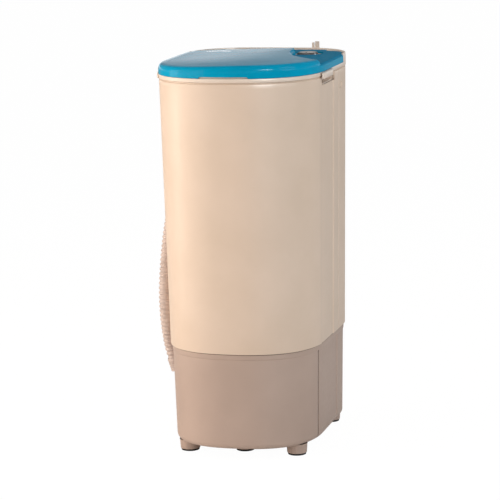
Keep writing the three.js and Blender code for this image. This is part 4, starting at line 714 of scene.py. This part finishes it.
def make_lid():
    upper = raised_panel("lid_cover", crown_rows(LID_TOP, LID_SEAT, -1.0, 6.6), 0.0, LEDGE - 3, 3.2)
    lower = lid_solid("lid_ledge", crown_rows(LEDGE, LID_SEAT, -0.97, 4.2, crown=0.0))
    boolean(upper, lower, "UNION")
    boolean(upper, rear_cutter(0.0, LID_REAR), "DIFFERENCE")
    inside = crown_rows(LID_TOP - LID_WALL, LID_SEAT - 2, 1.6, 4.0)
    hollow = raised_panel("lid_hollow", inside, LID_WALL, LEDGE - LID_WALL, 0.6)
    under = lid_solid("lid_under", crown_rows(LEDGE - LID_WALL, LID_SEAT - 2, 1.65, 3.0, crown=0.0))
    boolean(hollow, under, "UNION")
    boolean(hollow, rear_cutter(LID_WALL, LID_REAR + 3), "DIFFERENCE")
    boolean(upper, hollow, "DIFFERENCE")
    boolean(upper, notch_cutter(), "DIFFERENCE")
    opening = [(0, 650), (KNOB_WINDOW, 650), (KNOB_WINDOW, 700), (0, 700)]
    boolean(upper, lathe("window", opening, BLUE, TIMER_X, TIMER_Y, 96), "DIFFERENCE")
    top = LID_TOP - FALL
    post = [(0, LID_SEAT), (4.4, LID_SEAT), (5, LID_SEAT + 0.6), (5, top), (0, top)]
    presser = lathe("presser", post, BLUE, PLUNGER_X, PLUNGER_Y, 28)
    lugs = [knuckle("lid_lug", side * HINGE_X, LUG_HALF, LUG_RADIUS, LEDGE - 1, BLUE) for side in (-1, 1)]
    merge(upper, presser, *lugs)
    upper.data.materials.append(SATIN_BLUE)
    for face in upper.data.polygons:
        x, y, z = (value / MM for value in face.center)
        y -= AXIS_Y
        lowered = y > PANEL_REAR + 1 or math.hypot(x - BITE_X, y - BITE_Y) < BITE_RADIUS - 1
        if lowered and face.normal.z > 0.2 and z > LEDGE - 6:
            face.material_index = 1
    shade(upper.data, 30)
    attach(upper, "lid")
    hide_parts("lid")


make_lid()


# ------------------------------------------------------------------ carry grips

GRIP_FRONT, GRIP_REAR, GRIP_LOW, GRIP_HIGH, GRIP_REACH = -46.0, 33.0, 646.0, 657.2, 5.4
POCKET_FRONT, POCKET_REAR, POCKET_LOW, POCKET_DEPTH, POCKET_WALL = -31, 55, 635, 12.4, 1.8


def grip_outline(face, reach):
    """Plan of the lip, from its front root round its nose to its rear root."""
    def curve(start, handle, end, steps=12):
        for i in range(steps + 1):
            t = i / steps
            u, v, w = (1 - t) ** 2, 2 * t * (1 - t), t * t
            yield tuple(u * a + v * b + w * c for a, b, c in zip(start, handle, end))
    outline = list(curve((face, GRIP_FRONT), (reach, GRIP_FRONT + 4), (reach, GRIP_FRONT + 18)))
    outline += [(reach, GRIP_FRONT + 30), (reach, GRIP_REAR - 30)]
    outline += list(curve((reach, GRIP_REAR - 18), (reach, GRIP_REAR - 4), (face, GRIP_REAR)))
    return outline


def make_grip(side, label):
    """Lip with rounded edges on the cabinet's side, with the pocket's liner and the web between them."""
    face, reach = HALF_WIDTH + 0.9, HALF_WIDTH + GRIP_REACH
    rounding = [(3.2, 0.0), (1.5, 0.35), (0.45, 1.2), (0.0, 3.0)]
    rows = [(inset, GRIP_LOW + rise) for inset, rise in rounding]
    rows += [(inset, GRIP_HIGH - rise) for inset, rise in reversed(rounding)]
    middle = (GRIP_FRONT + GRIP_REAR) / 2
    points = []
    for inset, z in rows:
        share = 1 - inset / (GRIP_REAR - GRIP_FRONT) * 2
        outline = grip_outline(face, reach - inset)
        points += [(side * x, middle + (y - middle) * share, z) for x, y in outline]
    lip = make("grip_" + label, points, stack(len(rows), len(points) // len(rows)), LIT_BAND)
    inner = HALF_WIDTH - BODY_WALL - POCKET_DEPTH
    wall = HALF_WIDTH - BODY_WALL - body_inset(POCKET_LOW) - CLEAR
    liner = brick("liner", sorted((side * inner, side * wall)), (POCKET_FRONT, POCKET_REAR),
                  (POCKET_LOW, 650.2), CREAM)
    hollow = brick("hollow", sorted((side * (inner + POCKET_WALL), side * (HALF_WIDTH + 20))),
                   (POCKET_FRONT + POCKET_WALL, POCKET_REAR - POCKET_WALL),
                   (POCKET_LOW + POCKET_WALL, GRIP_LOW), CREAM)
    boolean(liner, hollow, "DIFFERENCE")
    web = brick("web", sorted((side * (inner + 0.1), side * (face + 3))), (POCKET_FRONT, 27),
                (GRIP_LOW, 650.1), CREAM)
    merge(lip, liner, web)
    shade(lip.data, 35)
    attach(lip, "cabinet")
    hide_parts("side_grip_" + label)


make_grip(-1, "left")
make_grip(1, "right")


# ------------------------------------------------------------------ timer knob

KNOB_RIBS, RIB_DEPTH, RIB_POINTS = 12, 1.5, (4, 5, 6)  # the last are the profile's points in the grooves


def make_knob():
    def scallop(angle, j):
        return -RIB_DEPTH * max(0.0, math.cos(KNOB_RIBS * angle)) ** 6 if j in RIB_POINTS else 0.0
    profile = [(0, 662), (21.0, 662), (21.5, 662.5), (21.3, 665.2), (19.8, 666.2), (18.9, 670)]
    profile += [(18.1, 672.6), (17.0, 673.6), (15.2, 674.0), (6, 673.7), (0, 673.7)]
    knob = lathe("control_knob", profile, DARK, TIMER_X, TIMER_Y, 180, closed=False, wave=scallop)
    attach(knob, "timer")
    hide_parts("timer_knob")
    # pale top cap: partly the knob's light face, partly a painted highlight for the glare on its top
    disc = [(0, 673.5), (14.8, 673.5), (14.8, 674.1), (14.4, 674.4), (0, 674.5)]
    cap = lathe("knob_cap", disc, PALE, TIMER_X, TIMER_Y, 90, closed=False)
    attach(cap, "timer")
    pointer = brick("knob_pointer", (TIMER_X - 1.0, TIMER_X + 1.0), (TIMER_Y - 13.6, TIMER_Y - 4),
                    (674.0, 674.8), DARK)
    bevel(pointer, 0.3)
    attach(pointer, "timer")


make_knob()


# ------------------------------------------------------------------ drain hose

HOSE_ROUTE = [  # from the lower cuff round the back to the clip
    (-144, 28.5, 118), (-150.3, 27, 139), (-154.8, 23.5, 160), (-156.8, 17, 184), (-157.2, 9, 211),
    (-157, 3, 240), (-156.5, 2, 272), (-156, 9, 305), (-156, 22, 338), (-156, 40, 370),
    (-156.3, 64, 398), (-156.8, 92, 419), (-157, 122, 437), (-154.3, 151, 452), (-145.2, 180, 466),
    (-128.5, 206, 479), (-105.5, 226, 492), (-78, 239, 506), (-50, 242.5, 520), (-18, 242.5, 536),
    (11, 242.5, 551), (28, 242.5, 560.5), (48, 242.5, 575.4), (60, 242.5, 594), (68.4, 242.5, 616.7),
    (71, 242.5, 640), (71, 242.5, 664),
]
HOSE_OUTER, HOSE_ROOT, HOSE_BORE, HOSE_RIBS = 11.0, 9.2, 7.6, 94
CUFF_OUTER, CUFF_LENGTH, CUFF_WALL = 12.2, 24.0, 1.6
CUFF_RINGS, RING_PITCH, RING_DEPTH = 5, 3.4, 0.7


def curve_through(points, steps=24):
    """Points close together on a curve through the given ones: a cubic through each four neighbours, used
    between the middle two, and timed by the square root of their distances."""
    spots = [Vector(p) for p in points]
    spots = [2 * spots[0] - spots[1]] + spots + [2 * spots[-1] - spots[-2]]
    line = []
    for i in range(1, len(spots) - 2):
        p = spots[i - 1:i + 3]
        knots = [0.0]
        for a, b in zip(p, p[1:]):
            knots.append(knots[-1] + max((b - a).length, 1e-9) ** 0.5)
        for j in range(steps):
            t = knots[1] + (knots[2] - knots[1]) * j / steps
            level = p
            for depth in (1, 2, 3):
                level = [((knots[k + depth] - t) * level[k] + (t - knots[k]) * level[k + 1])
                         / (knots[k + depth] - knots[k]) for k in range(4 - depth)]
            line.append(level[0])
    line.append(spots[-2])
    return line


def even(line, count):
    """count + 1 points at equal steps along a polyline, with its length."""
    lengths = [0.0]
    for a, b in zip(line, line[1:]):
        lengths.append(lengths[-1] + (b - a).length)
    spots, at = [], 0
    for i in range(count + 1):
        want = lengths[-1] * i / count
        while at < len(line) - 2 and lengths[at + 1] < want:
            at += 1
        share = (want - lengths[at]) / max(lengths[at + 1] - lengths[at], 1e-9)
        spots.append(line[at].lerp(line[at + 1], share))
    return spots, lengths[-1]


def make_hose():
    """Tube with its bore and rounded ribs, plain inside the two cuffs."""
    shape = [HOSE_OUTER, HOSE_OUTER - 0.25, HOSE_ROOT + 0.25, HOSE_ROOT, HOSE_ROOT + 0.25, HOSE_OUTER - 0.25]
    sides = 24
    count = HOSE_RIBS * len(shape)
    spots, length = even(curve_through(HOSE_ROUTE), count)
    plain = math.ceil(count * CUFF_LENGTH / length) + 2
    points, faces = [], []
    normal = Vector((0, 1, 0))
    rings = []
    for i, spot in enumerate(spots):
        ahead = (spots[min(i + 1, count)] - spots[max(i - 1, 0)]).normalized()
        normal = (normal - ahead * normal.dot(ahead)).normalized()
        rings.append((spot, normal.copy(), ahead.cross(normal)))
    for inner in (False, True):
        for i, (spot, across, other) in enumerate(rings):
            in_cuff = i < plain or i > count - plain
            radius = CUFF_OUTER - CUFF_WALL - CLEAR if in_cuff else shape[i % len(shape)]
            if inner:
                radius = HOSE_BORE if in_cuff else HOSE_BORE + 0.3 * (radius - HOSE_ROOT)
            for j in range(sides):
                angle = 2 * math.pi * j / sides
                point = spot + radius * (math.cos(angle) * across + math.sin(angle) * other)
                points.append(tuple(point))
    half = (count + 1) * sides
    for i in range(count):
        for j in range(sides):
            k = (j + 1) % sides
            a, b = i * sides, (i + 1) * sides
            faces.append((a + j, a + k, b + k, b + j))
            faces.append((half + a + j, half + b + j, half + b + k, half + a + k))
    for row in (0, count):
        for j in range(sides):
            k = (j + 1) % sides
            a = row * sides
            faces.append((a + j, half + a + j, half + a + k, a + k))
    hose = make("ribbed_hose", points, faces, HOSE, sharp=50)
    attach(hose, "cabinet")
    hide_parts("drain_hose")
    path = [(p.x * MM, (p.y + AXIS_Y) * MM, p.z * MM) for p in spots[::3]]
    return hose, path, length * MM


def make_cuff(label, end, following, start):
    """Grooved cuff on a hose end, from start along the hose; following is the route's next point."""
    bore, groove = CUFF_OUTER - CUFF_WALL, CUFF_OUTER - RING_DEPTH
    profile = [(bore, start), (CUFF_OUTER - 0.5, start), (CUFF_OUTER, start + 0.5)]
    for i in range(CUFF_RINGS):
        z = start + 4 + RING_PITCH * i
        profile += [(CUFF_OUTER, z - 0.9), (groove, z - 0.4), (groove, z + 0.4), (CUFF_OUTER, z + 0.9)]
    profile += [(CUFF_OUTER, CUFF_LENGTH - 2), (CUFF_OUTER - 0.8, CUFF_LENGTH), (bore, CUFF_LENGTH)]
    cuff = lathe("cuff_" + label, profile, HOSE, steps=48)
    direction = (Vector(following) - Vector(end)).normalized()
    turn_to(cuff, end, direction)
    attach(cuff, "cabinet")
    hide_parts("hose_cuff_" + label)
    return cuff


hose, hose_path, hose_length = make_hose()
cuffs = [make_cuff("lower", HOSE_ROUTE[0], HOSE_ROUTE[1], CLEAR)]
cuffs.append(make_cuff("upper", HOSE_ROUTE[-1], HOSE_ROUTE[-2], 0.0))


# ------------------------------------------------------------------ feet

FEET = {"front_left": (-95.5, -74), "front_right": (95.5, -74), "rear_left": (-101, 168),
        "rear_right": (101, 168), "front_centre": (0, -60)}


def make_feet():
    """Each foot is a round leg with a peg into the base, on a pad."""
    shank = [(0, 3.3), (16.3, 3.3), (17.0, 3.9), (17.1, 5), (18.1, 18), (18.5, 19.9)]
    shank += [(5, 19.9), (5, 25.6), (0, 25.6)]
    tread = [(0, 0), (14.6, 0), (15.5, 0.4), (15.8, 1.1), (15.8, 3), (0, 3)]
    for label, (x, y) in FEET.items():
        foot = lathe("leg_" + label, shank, TAUPE, x, y, 48, closed=False)
        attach(foot, "cabinet")
        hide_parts("foot_" + label)
        pad = lathe("pad_" + label, tread, RUBBER, x, y, 48, closed=False)
        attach(pad, "cabinet")
        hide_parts("foot_pad_" + label)


make_feet()


# ------------------------------------------------------------------ carried-over solids

DRESS = [
    (ZINC, ["lid_hinge_pin_left", "lid_hinge_pin_right", "hub_nut", "drive_shaft", "brake_lever",
            "brake_lever_pin", "motor_mount_plate", "suspension_spring_1", "suspension_spring_2",
            "suspension_spring_3", "capacitor_clip", "rear_screw_1", "rear_screw_2", "rear_screw_3",
            "rear_screw_4"]),
    (BRASS, ["timer_shaft"]),
    (WHITE, ["timer_body", "switch_plunger", "outer_tub", "balance_ring", "basket_hub"]),
    (DARK, ["lid_switch"]),
    (RUBBER, ["shaft_seal", "brake_pad", "brake_cable", "cord_gland"]),
    (STAINLESS, ["spin_basket"]),
    (CAST, ["brake_drum", "motor_end_cap"]),
    (ENAMEL, ["motor_housing"]),
    (CAN, ["capacitor"]),
    (HOSE, ["drain_elbow"]),
    (TAUPE, ["drain_spigot"]),
    (LIT_BAND, ["hose_clip"]),
]
# how wide their edges are eased, mm
EDGES = {"hose_clip": 0.8, "cord_gland": 0.5, "drain_spigot": 0.5, "motor_housing": 0.8,
         "motor_end_cap": 0.8, "brake_drum": 0.5, "brake_lever": 0.5, "timer_body": 0.6, "lid_switch": 0.6}


def dress_solids():
    """Gives the solids that show as they are their materials and eased edges."""
    for material, name in ((material, name) for material, names in DRESS for name in names):
        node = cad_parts[name]
        node.data.materials.clear()
        node.data.materials.append(material)
        weld = node.modifiers.new("weld", "WELD")
        weld.merge_threshold = 1e-5
        if name in EDGES:
            bevel(node, EDGES[name])


dress_solids()


# ------------------------------------------------------------------ floor, light and background

def camera_white(tree, shader_output, strength, share):
    """Mixes plain white in by a share for the camera, also through glass, and the shader for all else."""
    rays = tree.nodes.new("ShaderNodeLightPath")
    seen = tree.nodes.new("ShaderNodeMath")
    seen.operation = "MAXIMUM"
    tree.links.new(rays.outputs["Is Camera Ray"], seen.inputs[0])
    tree.links.new(rays.outputs["Is Transmission Ray"], seen.inputs[1])
    scaled = tree.nodes.new("ShaderNodeMath")
    scaled.operation = "MULTIPLY"
    scaled.inputs[1].default_value = share
    tree.links.new(seen.outputs[0], scaled.inputs[0])
    glow = tree.nodes.new("ShaderNodeEmission")
    glow.inputs["Strength"].default_value = strength
    mixed = tree.nodes.new("ShaderNodeMixShader")
    tree.links.new(scaled.outputs[0], mixed.inputs[0])
    tree.links.new(shader_output, mixed.inputs[1])
    tree.links.new(glow.outputs[0], mixed.inputs[2])
    return mixed.outputs[0]


def make_floor():
    mesh = bpy.data.meshes.new("floor")
    corners = [(x * 14.0, y * 14.0, 0) for x, y in ((-1, -1), (1, -1), (1, 1), (-1, 1))]
    mesh.from_pydata(corners, [], [(0, 1, 2, 3)])
    floor = bpy.data.objects.new("floor", mesh)
    scene.collection.objects.link(floor)
    material = bpy.data.materials.new("floor_white")
    material.use_nodes = True
    tree = material.node_tree
    shader = tree.nodes["Principled BSDF"]
    shader.inputs["Base Color"].default_value = (0.86, 0.85, 0.84, 1)
    shader.inputs["Roughness"].default_value = 0.9
    output = tree.nodes["Material Output"]
    tree.links.new(camera_white(tree, shader.outputs[0], 1.03, 0.95), output.inputs["Surface"])
    mesh.materials.append(material)


def make_world():
    """Plain even light; gloss sees a sky that is bright at the horizon and darker above it."""
    world = bpy.data.worlds.new("studio")
    scene.world = world
    world.use_nodes = True
    tree = world.node_tree
    ambient = tree.nodes["Background"]
    ambient.inputs["Color"].default_value = (0.97, 0.98, 1.0, 1)
    rays = tree.nodes.new("ShaderNodeLightPath")
    way = tree.nodes.new("ShaderNodeTexCoord")
    parts = tree.nodes.new("ShaderNodeSeparateXYZ")
    tree.links.new(way.outputs["Generated"], parts.inputs[0])
    horizon = tree.nodes.new("ShaderNodeMapRange")
    for key, value in (("From Min", 0.04), ("From Max", 0.105), ("To Min", 1.35), ("To Max", 0.32)):
        horizon.inputs[key].default_value = value
    tree.links.new(parts.outputs["Z"], horizon.inputs["Value"])
    level = tree.nodes.new("ShaderNodeMix")
    level.inputs[2].default_value = 0.35
    tree.links.new(rays.outputs["Is Glossy Ray"], level.inputs[0])
    tree.links.new(horizon.outputs["Result"], level.inputs[3])
    tree.links.new(level.outputs[0], ambient.inputs["Strength"])
    output = tree.nodes["World Output"]
    tree.links.new(camera_white(tree, ambient.outputs[0], 1.0, 1.0), output.inputs["Surface"])


def area(name, azimuth, elevation, distance, size, power, colour, soft=True):
    """Lamp aimed at the machine's middle, from an angle round it: 0 in front and 90 at the left. One that
    isn't soft shows as a glint only."""
    a, e = math.radians(azimuth), math.radians(elevation)
    lamp = bpy.data.lights.new(name, "AREA")
    lamp.shape = "RECTANGLE"
    lamp.size, lamp.size_y = size
    lamp.energy = power
    lamp.color = colour
    placed = bpy.data.objects.new(name, lamp)
    scene.collection.objects.link(placed)
    placed.visible_diffuse = soft
    way = Vector((-math.sin(a) * math.cos(e), -math.cos(a) * math.cos(e), math.sin(e)))
    placed.location = Vector((0, 0, 0.4)) + way * distance
    placed.rotation_euler = way.to_track_quat("Z", "Y").to_euler()


make_floor()
make_world()
area("wall", 52, 4, 2.4, (2.2, 2.2), 45, (1.0, 0.84, 0.70))
area("key", 80, 2, 2.2, (0.8, 1.6), 17, (1.0, 0.88, 0.76))
area("right", -70, 24, 2.4, (1.2, 1.6), 17, (1.0, 1.0, 0.98))
area("glint", -30, 17, 5.0, (2.2, 0.12), 260.0, (1.0, 1.0, 1.0), soft=False)

scene.view_settings.view_transform = "Standard"
